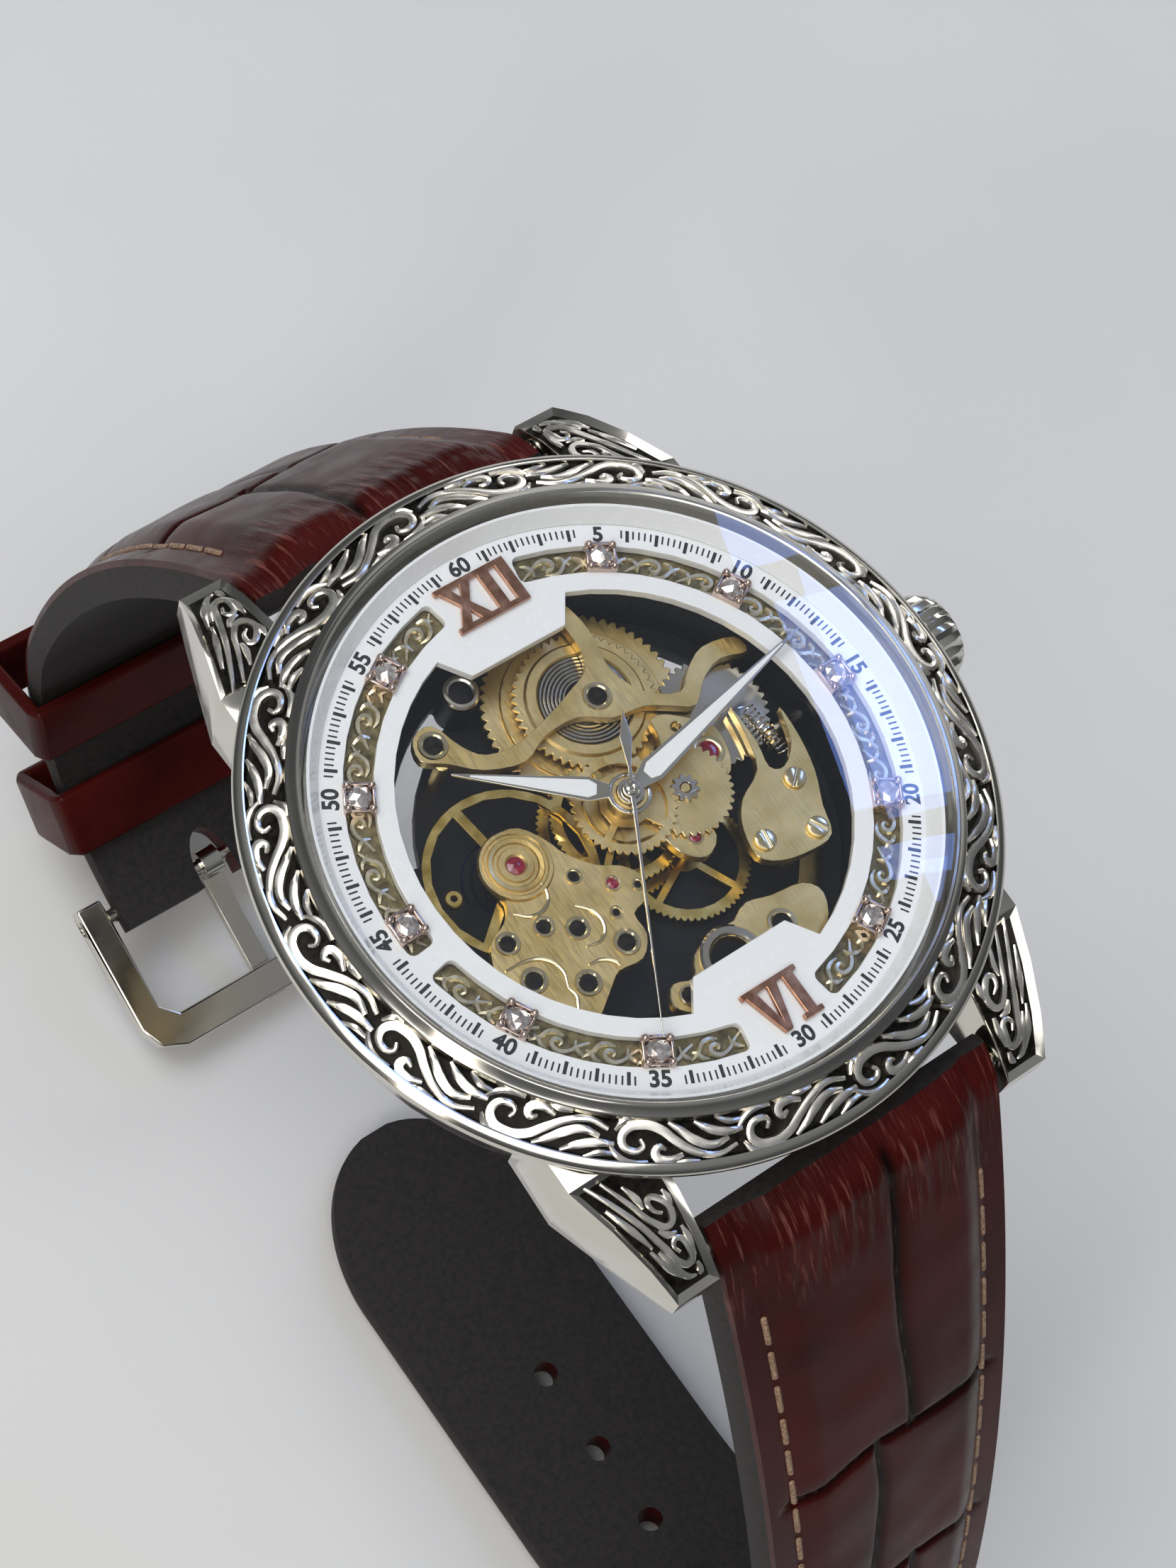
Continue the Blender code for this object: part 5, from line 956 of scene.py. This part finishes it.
BAR_REACH = 21.6
BAR_HEIGHT = 4.0
STRAP_WIDTH = 19.2
STRAP_END_WIDTH = 16.0
STRAP_RUN = 46.0
BEFORE_BAR = 1.7
ROUNDED = 1.4
STITCH_IN = 1.75
STITCH_PITCH = 2.9
STITCH_RADIUS = 0.2
STITCH_REACH = 0.95
STITCH_RISE = 0.08
STITCH_SAG = 0.1
LINING_DEPTH = 1.6
LINING_THINNING = 0.4
PAD_RISE = 2.3
PAD_THINNING = 1.1
PAD_TAPER = 1.6
FOLD_SQUEEZE = 0.65
EDGE_SHARE = 0.55
EDGE_FLAT = 1.1
PAD_SLOPE = 2.6
CREASE_DEPTH = 0.34
CREASE_WIDTH = 0.32
CREASE_SIDES = 1.0
FOLD_SHARE = 0.75
CREASE_BOW = 1.5
BOW_WIDTH = 9.0
CREASE_WANDER = 0.22
CREASE_OVERRUN = 0.6
CREASE_STOP = 0.5
CREASE_FADE = 1.5
SEAM_DEPTH = 0.12
SEAM_WIDTH = 0.3
BEND_AT = 1.0
BEND_REACH = 5.0
WRINKLE_HEIGHT = 0.12
SWAY_HEIGHT = 0.1
SIDE_BULGE = 0.12
TIP_BLUNTNESS = 0.99
ROW_CROWDING = 1.15
TOP_COLUMNS = 100
SIDE_COLUMNS = 6
LINING_COLUMNS = 22

# Calf leather, dyed, embossed and glazed: dark brown-burgundy in patches of 6 mm, with painted shade near
# black in the creases that leaves the crowns redder, and a waxy gloss over fine pores 0.3 mm across; where it
# bends, a painted highlight of pale colour runs along the ridges of its wrinkles.
glaze = {"Specular IOR Level": 0.05, "Coat Weight": 0.12, "Coat Roughness": 0.1}
leather = surface("calf leather embossed and glazed", 0.0, glaze)
vary(leather, 2.0, roughness=(0.24, 0.36))
dye = add_node(leather, "ShaderNodeMapRange", PATCH_RANGE, {"Value": patches(leather, 6.0)})
hides = {6: linear("#300D0A"), 7: linear("#471310")}
crowns = add_node(leather, "ShaderNodeMix", hides, {0: dye.outputs["Result"]}, data_type="RGBA")
bend = add_node(leather, "ShaderNodeAttribute", attribute_name="bend").outputs["Fac"]
wrinkles = patches(leather, 0.6, stretch=(2.2, 0.22, 0.22))
# Painted highlight: where the leather bends, the ridges of its wrinkles are painted a pale pinkish brown.
highlight_ridges = add_node(leather, "ShaderNodeMapRange", {"From Min": 0.56, "From Max": 0.74}, {"Value": wrinkles})
highlight_factors = {0: highlight_ridges.outputs["Result"], 1: bend}
highlight_share = add_node(leather, "ShaderNodeMath", None, highlight_factors, operation="MULTIPLY").outputs[0]
layers = {0: highlight_share, 6: crowns.outputs[2]}
highlighted = add_node(leather, "ShaderNodeMix", {7: linear("#74463D")}, layers, data_type="RGBA")
# Painted shade: the creases between the scales are darkened towards near black, more the deeper the crease.
crease = add_node(leather, "ShaderNodeAttribute", attribute_name="crease")
layers = {0: crease.outputs["Fac"], 6: highlighted.outputs[2]}
deep = add_node(leather, "ShaderNodeMix", {7: linear("#0E0504")}, layers, data_type="RGBA")
feed(leather, "Base Color", deep.outputs[2])
folds = add_node(leather, "ShaderNodeMath", None, {0: wrinkles, 1: bend}, operation="MULTIPLY").outputs[0]
skin_parts = {0: patches(leather, 0.3), 2: folds}
skin = add_node(leather, "ShaderNodeMath", {1: 0.07}, skin_parts, operation="MULTIPLY_ADD").outputs[0]
relief = add_node(leather, "ShaderNodeBump", {"Distance": 0.16 * MM}, {"Height": skin})
feed(leather, "Normal", relief.outputs["Normal"])

# Lining leather, split and sanded: dull black with a nap of 0.4 mm.
black_lining = surface("lining leather sanded", 0.0, {"Roughness": 0.75})
vary(black_lining, 0.4, ("#0E0B0A", "#241D1A"), bump=0.04)

# Thread, twisted polyester: tan, with the light and dark of its plies 0.2 mm apart.
tan_thread = surface("polyester thread twisted", 0.0, {"Roughness": 0.6})
vary(tan_thread, 0.2, ("#6E513B", "#B3957A"), bump=0.03)


@dataclass
class Half:
    """The path and the scales of one strap half.

    Each bend is (length, turn in degrees), and each long crease is (from, to, place across).
    """

    side: int
    length: float
    leave_deg: float
    bends: list
    tip: float
    rows: int
    cross_creases: list
    long_creases: list

    def middle(self, run):
        """Distance out from the bar, height and heading of the strap's middle, this far along it."""
        heading = math.radians(self.leave_deg)
        if run < 0.0:
            return run * math.cos(heading), -run * math.sin(heading), heading
        out, height, left = 0.0, 0.0, run
        for length, turn_deg in self.bends:
            step = min(left, length)
            turn = math.radians(turn_deg) * step / length
            chord = step if abs(turn) < 1e-6 else 2 * step / turn * math.sin(turn / 2)
            out += chord * math.cos(heading + turn / 2)
            height -= chord * math.sin(heading + turn / 2)
            heading += turn
            left -= step
            if left <= 0.0:
                break
        return out, height, heading

    def at(self, run, x, raised):
        """A point of the strap in millimetres: this far along, across and above its middle."""
        out, height, heading = self.middle(run)
        y = BAR_REACH + out + raised * math.sin(heading)
        return Vector((x, self.side * y, BAR_HEIGHT + height + raised * math.cos(heading)))

    def half_width(self, run):
        """Half the width of the strap, which narrows from the bar and is rounded at its tip."""
        narrowed = min(1.0, max(0.0, run) / STRAP_RUN)
        half = (STRAP_WIDTH + (STRAP_END_WIDTH - STRAP_WIDTH) * narrowed) / 2
        into_tip = run - (self.length - self.tip)
        if self.tip and into_tip > 0.0:
            half *= math.sqrt(max(0.0, 1.0 - (TIP_BLUNTNESS * into_tip / self.tip) ** 2))
        return half

    def thickness(self, run):
        """Depth of the lining side and rise of the padded side about the middle."""
        part = max(run, 0.0) / self.length
        over = max(0.0, ROUNDED - run) / (ROUNDED + BEFORE_BAR)
        squeeze = 1.0 - FOLD_SQUEEZE * over ** 2
        lining = LINING_DEPTH - LINING_THINNING * part
        pad = PAD_RISE - PAD_THINNING * min(1.0, PAD_TAPER * part)
        return lining * squeeze, pad * squeeze

    @staticmethod
    def groove(away):
        """Depth of a crease this far from its line, from 0 to 1: a sharp fold between soft sides."""
        fold = math.exp(-((away / CREASE_WIDTH) ** 2))
        sides = math.exp(-((away / CREASE_SIDES) ** 2))
        return FOLD_SHARE * fold + (1.0 - FOLD_SHARE) * sides

    def crease_depth(self, run, x):
        """How deep the nearest crease between scales is here, from 0 to 1."""
        deepest = 0.0
        for number, start in enumerate(self.cross_creases):
            bow = start + CREASE_BOW * (x / BOW_WIDTH) ** 2 + CREASE_WANDER * math.sin(0.7 * x + 2.0 * number)
            deepest = max(deepest, self.groove(run - bow))
        for start, end, place in self.long_creases:
            if start - CREASE_OVERRUN < run < end + CREASE_OVERRUN:
                line = place + CREASE_WANDER * math.sin(0.35 * run + place)
                deepest = max(deepest, self.groove(x - line))
        inside = self.half_width(run) - abs(x) - CREASE_STOP
        return deepest * min(1.0, max(0.0, inside / CREASE_FADE))

    @staticmethod
    def bend(run):
        """How sharply the leather is bent over the bar here, from 0 to 1."""
        return max(0.0, 1.0 - ((run - BEND_AT) / BEND_REACH) ** 2)

    def top(self, run, x):
        """Height of the padded side above the strap's middle, with creases and wrinkles, and the crease."""
        pad = self.thickness(run)[1]
        half = self.half_width(run)
        edge = pad * EDGE_SHARE
        inward = min(1.0, max(0.0, (half - abs(x) - EDGE_FLAT) / PAD_SLOPE))
        swell = inward * inward * (3.0 - 2.0 * inward)
        crown = 0.93 + 0.07 * (1.0 - (x / max(half, 0.1)) ** 2)
        height = edge + (pad * crown - edge) * swell
        crease = self.crease_depth(run, x) * min(1.0, max(0.0, (run + CREASE_FADE) / CREASE_FADE))
        stitched = math.exp(-(((half - abs(x) - STITCH_IN) / SEAM_WIDTH) ** 2))
        ripple = noise.noise(Vector((1.7 * x, 0.3 * run, 3.0))) * WRINKLE_HEIGHT * self.bend(run) * swell
        sway = noise.noise(Vector((0.25 * x, 0.25 * run, 7.0 + self.side))) * SWAY_HEIGHT * swell
        return height - CREASE_DEPTH * crease - SEAM_DEPTH * stitched + ripple + sway, crease

    def around(self, run, column):
        """Place across, height above the middle and crease of a column round the strap's section."""
        wide = self.half_width(run)
        lining = self.thickness(run)[0]
        if column <= TOP_COLUMNS:
            x = wide * (2.0 * column / TOP_COLUMNS - 1.0)
            return x, *self.top(run, x)
        column -= TOP_COLUMNS
        if SIDE_COLUMNS <= column <= SIDE_COLUMNS + LINING_COLUMNS:
            return wide * (1.0 - 2.0 * (column - SIDE_COLUMNS) / LINING_COLUMNS), -lining, 0.0
        right = column < SIDE_COLUMNS
        down = column / SIDE_COLUMNS if right else 2 + (LINING_COLUMNS - column) / SIDE_COLUMNS
        out = wide + SIDE_BULGE * math.sin(math.pi * down)
        x = out if right else -out
        start = self.top(run, wide if right else -wide)[0]
        return x, start - (start + lining) * down, 0.0


def strap_half(name, half):
    """Wraps a fine grid round the strap's section, from the fold at the bar to the end, and closes it."""
    columns = TOP_COLUMNS + 2 * SIDE_COLUMNS + LINING_COLUMNS
    bpy.ops.mesh.primitive_grid_add(x_subdivisions=columns, y_subdivisions=half.rows, size=2.0)
    strap = bpy.context.active_object
    strap.name = name
    strap.data.materials.append(leather)
    strap.data.materials.append(black_lining)
    marks = {"crease": [], "bend": []}
    for vertex in strap.data.vertices:
        column = round((vertex.co.x + 1.0) / 2.0 * columns) % columns
        run = -BEFORE_BAR + (half.length + BEFORE_BAR) * ((vertex.co.y + 1.0) / 2.0) ** ROW_CROWDING
        x, raised, crease = half.around(run, column)
        vertex.co = half.at(run, x, raised) * MM
        marks["crease"].append(crease)
        marks["bend"].append(half.bend(run))
    for mark, values in marks.items():
        strap.data.attributes.new(mark, "FLOAT", "POINT").data.foreach_set("value", values)
    for face in strap.data.polygons:
        face.material_index = int(TOP_COLUMNS < face.index % columns < columns - 1)
    with editing(strap):
        bpy.ops.mesh.remove_doubles(threshold=MERGE_WITHIN * MM)
        bpy.ops.mesh.fill_holes(sides=0)
        bpy.ops.mesh.select_all(action="SELECT")
        bpy.ops.mesh.normals_make_consistent(inside=False)
    for face in strap.data.polygons:
        if len(face.vertices) > 4:
            face.material_index = 1
    return strap


def stitch_rows(name, half, first, last, body):
    """Two rows of stitches along a strap half: one stitch is modelled, then copied along the padded side."""
    bpy.ops.mesh.primitive_uv_sphere_add(segments=8, ring_count=5, radius=STITCH_RADIUS)
    stitch = bpy.context.active_object
    stitch.data.transform(Matrix.Rotation(math.pi / 2, 4, "Y"))
    for vertex in stitch.data.vertices:
        vertex.co.x += math.copysign(STITCH_REACH, vertex.co.x) if abs(vertex.co.x) > 0.02 else 0.0
        vertex.co.z -= STITCH_SAG * (vertex.co.x / (STITCH_REACH + STITCH_RADIUS)) ** 2
    stitch.data.materials.append(tan_thread)
    stitches = []
    for hand in (-1, 1):
        for i in range(int((last - first) / STITCH_PITCH)):
            run = first + STITCH_PITCH * (i + 0.5)
            x = hand * (half.half_width(run) - STITCH_IN)
            height = half.top(run, x)[0] + STITCH_RISE
            place = half.at(run, x, height)
            ahead = half.at(run + 0.5, hand * (half.half_width(run + 0.5) - STITCH_IN), height)
            along = (ahead - place).normalized()
            sideways = (Vector((1.0, 0.0, 0.0)) - along * along.x).normalized()
            up = along.cross(sideways) * -half.side
            turn = Matrix((along, up.cross(along), up)).transposed().to_4x4()
            mesh = stitch.data.copy()
            mesh.transform(Matrix.Scale(MM, 4) @ Matrix.Translation(place) @ turn)
            stitches.append(add_piece(name, mesh))
    bpy.data.objects.remove(stitch)
    settle(joined(name, stitches), body, "burgundy_leather")


short_half = Half(
    side=1,
    length=76.0,
    leave_deg=48.0,
    bends=[(STRAP_RUN, 30.0), (30.0, 87.0)],
    tip=0.0,
    rows=360,
    cross_creases=[15.0, 29.0, 43.0, 56.0, 68.0],
    long_creases=[
        (-1.0, 15.0, -1.2), (15.0, 29.0, 1.6), (29.0, 43.0, -1.0), (43.0, 56.0, 1.2), (56.0, 68.0, -0.6),
        (68.0, 77.0, 0.8),
    ],
)
long_half = Half(
    side=-1,
    length=115.0,
    leave_deg=55.0,
    bends=[(STRAP_RUN, 15.0), (38.0, 108.0), (31.0, 0.0)],
    tip=11.0,
    rows=520,
    cross_creases=[21.5, 36.0, 50.0, 63.0, 76.0, 88.0, 99.0],
    long_creases=[
        (-1.0, 21.5, 1.0), (21.5, 36.0, -1.4), (36.0, 50.0, 1.3), (50.0, 63.0, -0.9), (63.0, 76.0, 1.1),
        (76.0, 88.0, -1.2), (88.0, 99.0, 0.7),
    ],
)
strap_12 = strap_half("strap_12_leather", short_half)
strap_6 = strap_half("strap_6_leather", long_half)


def punch(strap, half, runs, radius_x, radius_y):
    """Cuts openings straight through a strap at these places along it."""
    punches = []
    for run in runs:
        bpy.ops.mesh.primitive_cylinder_add(vertices=24, radius=1.0, depth=9.0)
        tool = bpy.context.active_object
        tool.data.transform(Matrix.Diagonal((radius_x, radius_y, 1.0, 1.0)))
        lean = Matrix.Rotation(-half.side * half.middle(run)[2], 4, "X")
        tool.data.transform(Matrix.Scale(MM, 4) @ Matrix.Translation(half.at(run, 0.0, 0.0)) @ lean)
        punches.append(tool)
    tool = joined("punch", punches)
    activate(strap)
    opening = strap.modifiers.new("openings", "BOOLEAN")
    opening.object = tool
    opening.solver = "EXACT"
    bpy.ops.object.modifier_apply(modifier=opening.name)
    bpy.data.objects.remove(tool)


HOLE_RADIUS = 0.9
HOLE_PITCH = 6.5
LAST_HOLE = 93.0
TONGUE_SLOT = (1.55, 3.4)
SLOT_AT = 75.2
punch(strap_6, long_half, [LAST_HOLE - HOLE_PITCH * i for i in range(6)], HOLE_RADIUS, HOLE_RADIUS)
punch(strap_12, short_half, [SLOT_AT], *TONGUE_SLOT)
settle(strap_12, "short_strap", "burgundy_leather", "strap_12")
settle(strap_6, "long_strap", "burgundy_leather", "strap_6")
stitch_rows("stitches_12", short_half, first=5.5, last=74.0, body="short_strap")
stitch_rows("stitches_6", long_half, first=5.5, last=103.0, body="long_strap")

# Keepers and buckle
# Two leather loops, one sewn down and one free, hold the strap's end beside a pin buckle.
# The buckle is bent and ground from steel, polished, and turns with its tongue on a steel bar in the strap.

KEEPER_EDGE = 0.35
BUCKLE_EDGE = 0.5
TONGUE_EDGE = 0.22
BUCKLE_BAR_EDGE = 0.1
refined("keeper_fixed", "short_strap", "burgundy_leather", KEEPER_EDGE, leather, segments=3)
refined("keeper_free", "keeper_free", "burgundy_leather", KEEPER_EDGE, leather, segments=3)
refined("buckle_bar", "short_strap", "polished_steel", BUCKLE_BAR_EDGE, polished_steel)
refined("buckle_frame", "buckle_frame", "polished_steel", BUCKLE_EDGE, polished_steel, segments=4)
refined("buckle_tongue", "buckle_tongue", "polished_steel", TONGUE_EDGE, polished_steel, segments=3)

# Studio
# A pale floor of studio paper lies just under the strap.
# The room round it is a soft grey that is a little brighter overhead.

FLOOR_SIZE = 3.0
FLOOR_GAP = 0.2
ROOM_GLOW = 0.7
bpy.ops.mesh.primitive_plane_add(size=FLOOR_SIZE, location=(0.0, 0.0, cad_box[0][2] - FLOOR_GAP * MM))
floor = bpy.context.active_object
floor.name = "floor"

# Studio paper: pale grey, quite matt.
floor_paper = surface("studio paper", 0.0, {"Roughness": 0.85})
vary(floor_paper, 60.0, ("#D8D8D6", "#E0E0DE"))
floor.data.materials.append(floor_paper)

world = bpy.data.worlds.new("soft room")
world.use_nodes = True
scene.world = world
ray = add_node(world, "ShaderNodeTexCoord")
height = add_node(world, "ShaderNodeSeparateXYZ", None, {0: ray.outputs["Generated"]})
rise = {"From Min": 0.15, "From Max": 0.85}
source = {"Value": height.outputs["Z"]}
share = add_node(world, "ShaderNodeMapRange", rise, source, interpolation_type="SMOOTHSTEP")
room = {6: linear("#5A5C60"), 7: linear("#9C9EA2")}
sky = add_node(world, "ShaderNodeMix", room, {0: share.outputs["Result"]}, data_type="RGBA")
background = world.node_tree.nodes["Background"]
world.node_tree.links.new(sky.outputs[2], background.inputs["Color"])
background.inputs["Strength"].default_value = ROOM_GLOW

# Camera
# It stands where the photograph was taken from, above the eight o'clock side, and is rolled to the right.
# Its lens and shift were fitted to the bezel and the hour marks.

AZIMUTH = math.radians(-60.276)
ELEVATION = math.radians(62.411)
ROLL = math.radians(26.785)
DISTANCE = 0.16746
AIM = Vector((0.0, 0.0, 0.0084))
LENS = 72.34
SHIFT = (-0.0254, 0.0084)
level = Vector((math.cos(AZIMUTH), math.sin(AZIMUTH), 0.0))
back = Vector((level.y * math.cos(ELEVATION), -level.x * math.cos(ELEVATION), math.sin(ELEVATION)))
upward = back.cross(level)
right = math.cos(ROLL) * level + math.sin(ROLL) * upward
top = -math.sin(ROLL) * level + math.cos(ROLL) * upward
camera = add_piece("camera", bpy.data.cameras.new("camera"))
turn = Matrix((right, top, back)).transposed().to_4x4()
camera.matrix_world = Matrix.Translation(AIM + DISTANCE * back) @ turn
camera.data.lens = LENS
camera.data.clip_start = 0.01
camera.data.shift_x, camera.data.shift_y = SHIFT
scene.camera = camera

# Lamps
# Two large soft lamps hang overhead and behind the camera, with low strips at the left and at the far side.
# A pale blue window of three panes stands where the crystal mirrors it, on the right of the dial.

DIAL_MIDDLE = Vector((0.0, 0.0, 0.009))
PANE_GLOW = 7.0
PANE_AWAY = 0.3


def soft_lamp(name, away, width, height, watts, colour):
    """A rectangular soft lamp this far away from the dial, which it faces; all in metres."""
    lamp = bpy.data.lights.new(name, "AREA")
    lamp.shape = "RECTANGLE"
    lamp.size = width
    lamp.size_y = height
    lamp.energy = watts
    lamp.color = linear(colour)[:3]
    holder = add_piece(name, lamp)
    holder.location = DIAL_MIDDLE + away
    holder.rotation_euler = (-away).to_track_quat("-Z", "Y").to_euler()
    return holder


soft_lamp("overhead", Vector((-0.12, 0.16, 0.41)), 0.3, 0.24, 0.9, "#FFFFFF")
soft_lamp("behind the camera", 0.5 * back, 0.5, 0.5, 1.3, "#FFFFFF")
soft_lamp("far strip", Vector((0.36, 0.25, 0.11)), 0.45, 0.1, 0.35, "#FFFFFF")
soft_lamp("left strip", Vector((-0.34, -0.12, 0.14)), 0.06, 0.3, 0.3, "#FFF6EC")

# The panes lie square to the line of sight as the crystal mirrors it. Each is given by its middle and its
# size along and across the window, in millimetres.
WINDOW_PANES = [(-8, 75, 58, 47), (-56, 66, 17, 40), (36, 72, 9, 34)]
mirrored = Vector((-back.x, -back.y, back.z))
level_pane = Vector((0.0, 0.0, 1.0)).cross(mirrored).normalized()
steep_pane = mirrored.cross(level_pane)
pane_along = (steep_pane - level_pane).normalized()
pane_across = (-steep_pane - level_pane).normalized()
pane_turn = Matrix((pane_along, pane_across, mirrored)).transposed().to_4x4()
for number, (along, across, length, width) in enumerate(WINDOW_PANES, start=1):
    watts = PANE_GLOW * math.pi * length * width * MM ** 2
    away = PANE_AWAY * mirrored + (along * pane_along + across * pane_across) * MM
    pane = soft_lamp(f"window pane {number}", away, length * MM, width * MM, watts, "#84A9FF")
    pane.matrix_world = Matrix.Translation(DIAL_MIDDLE + away) @ pane_turn
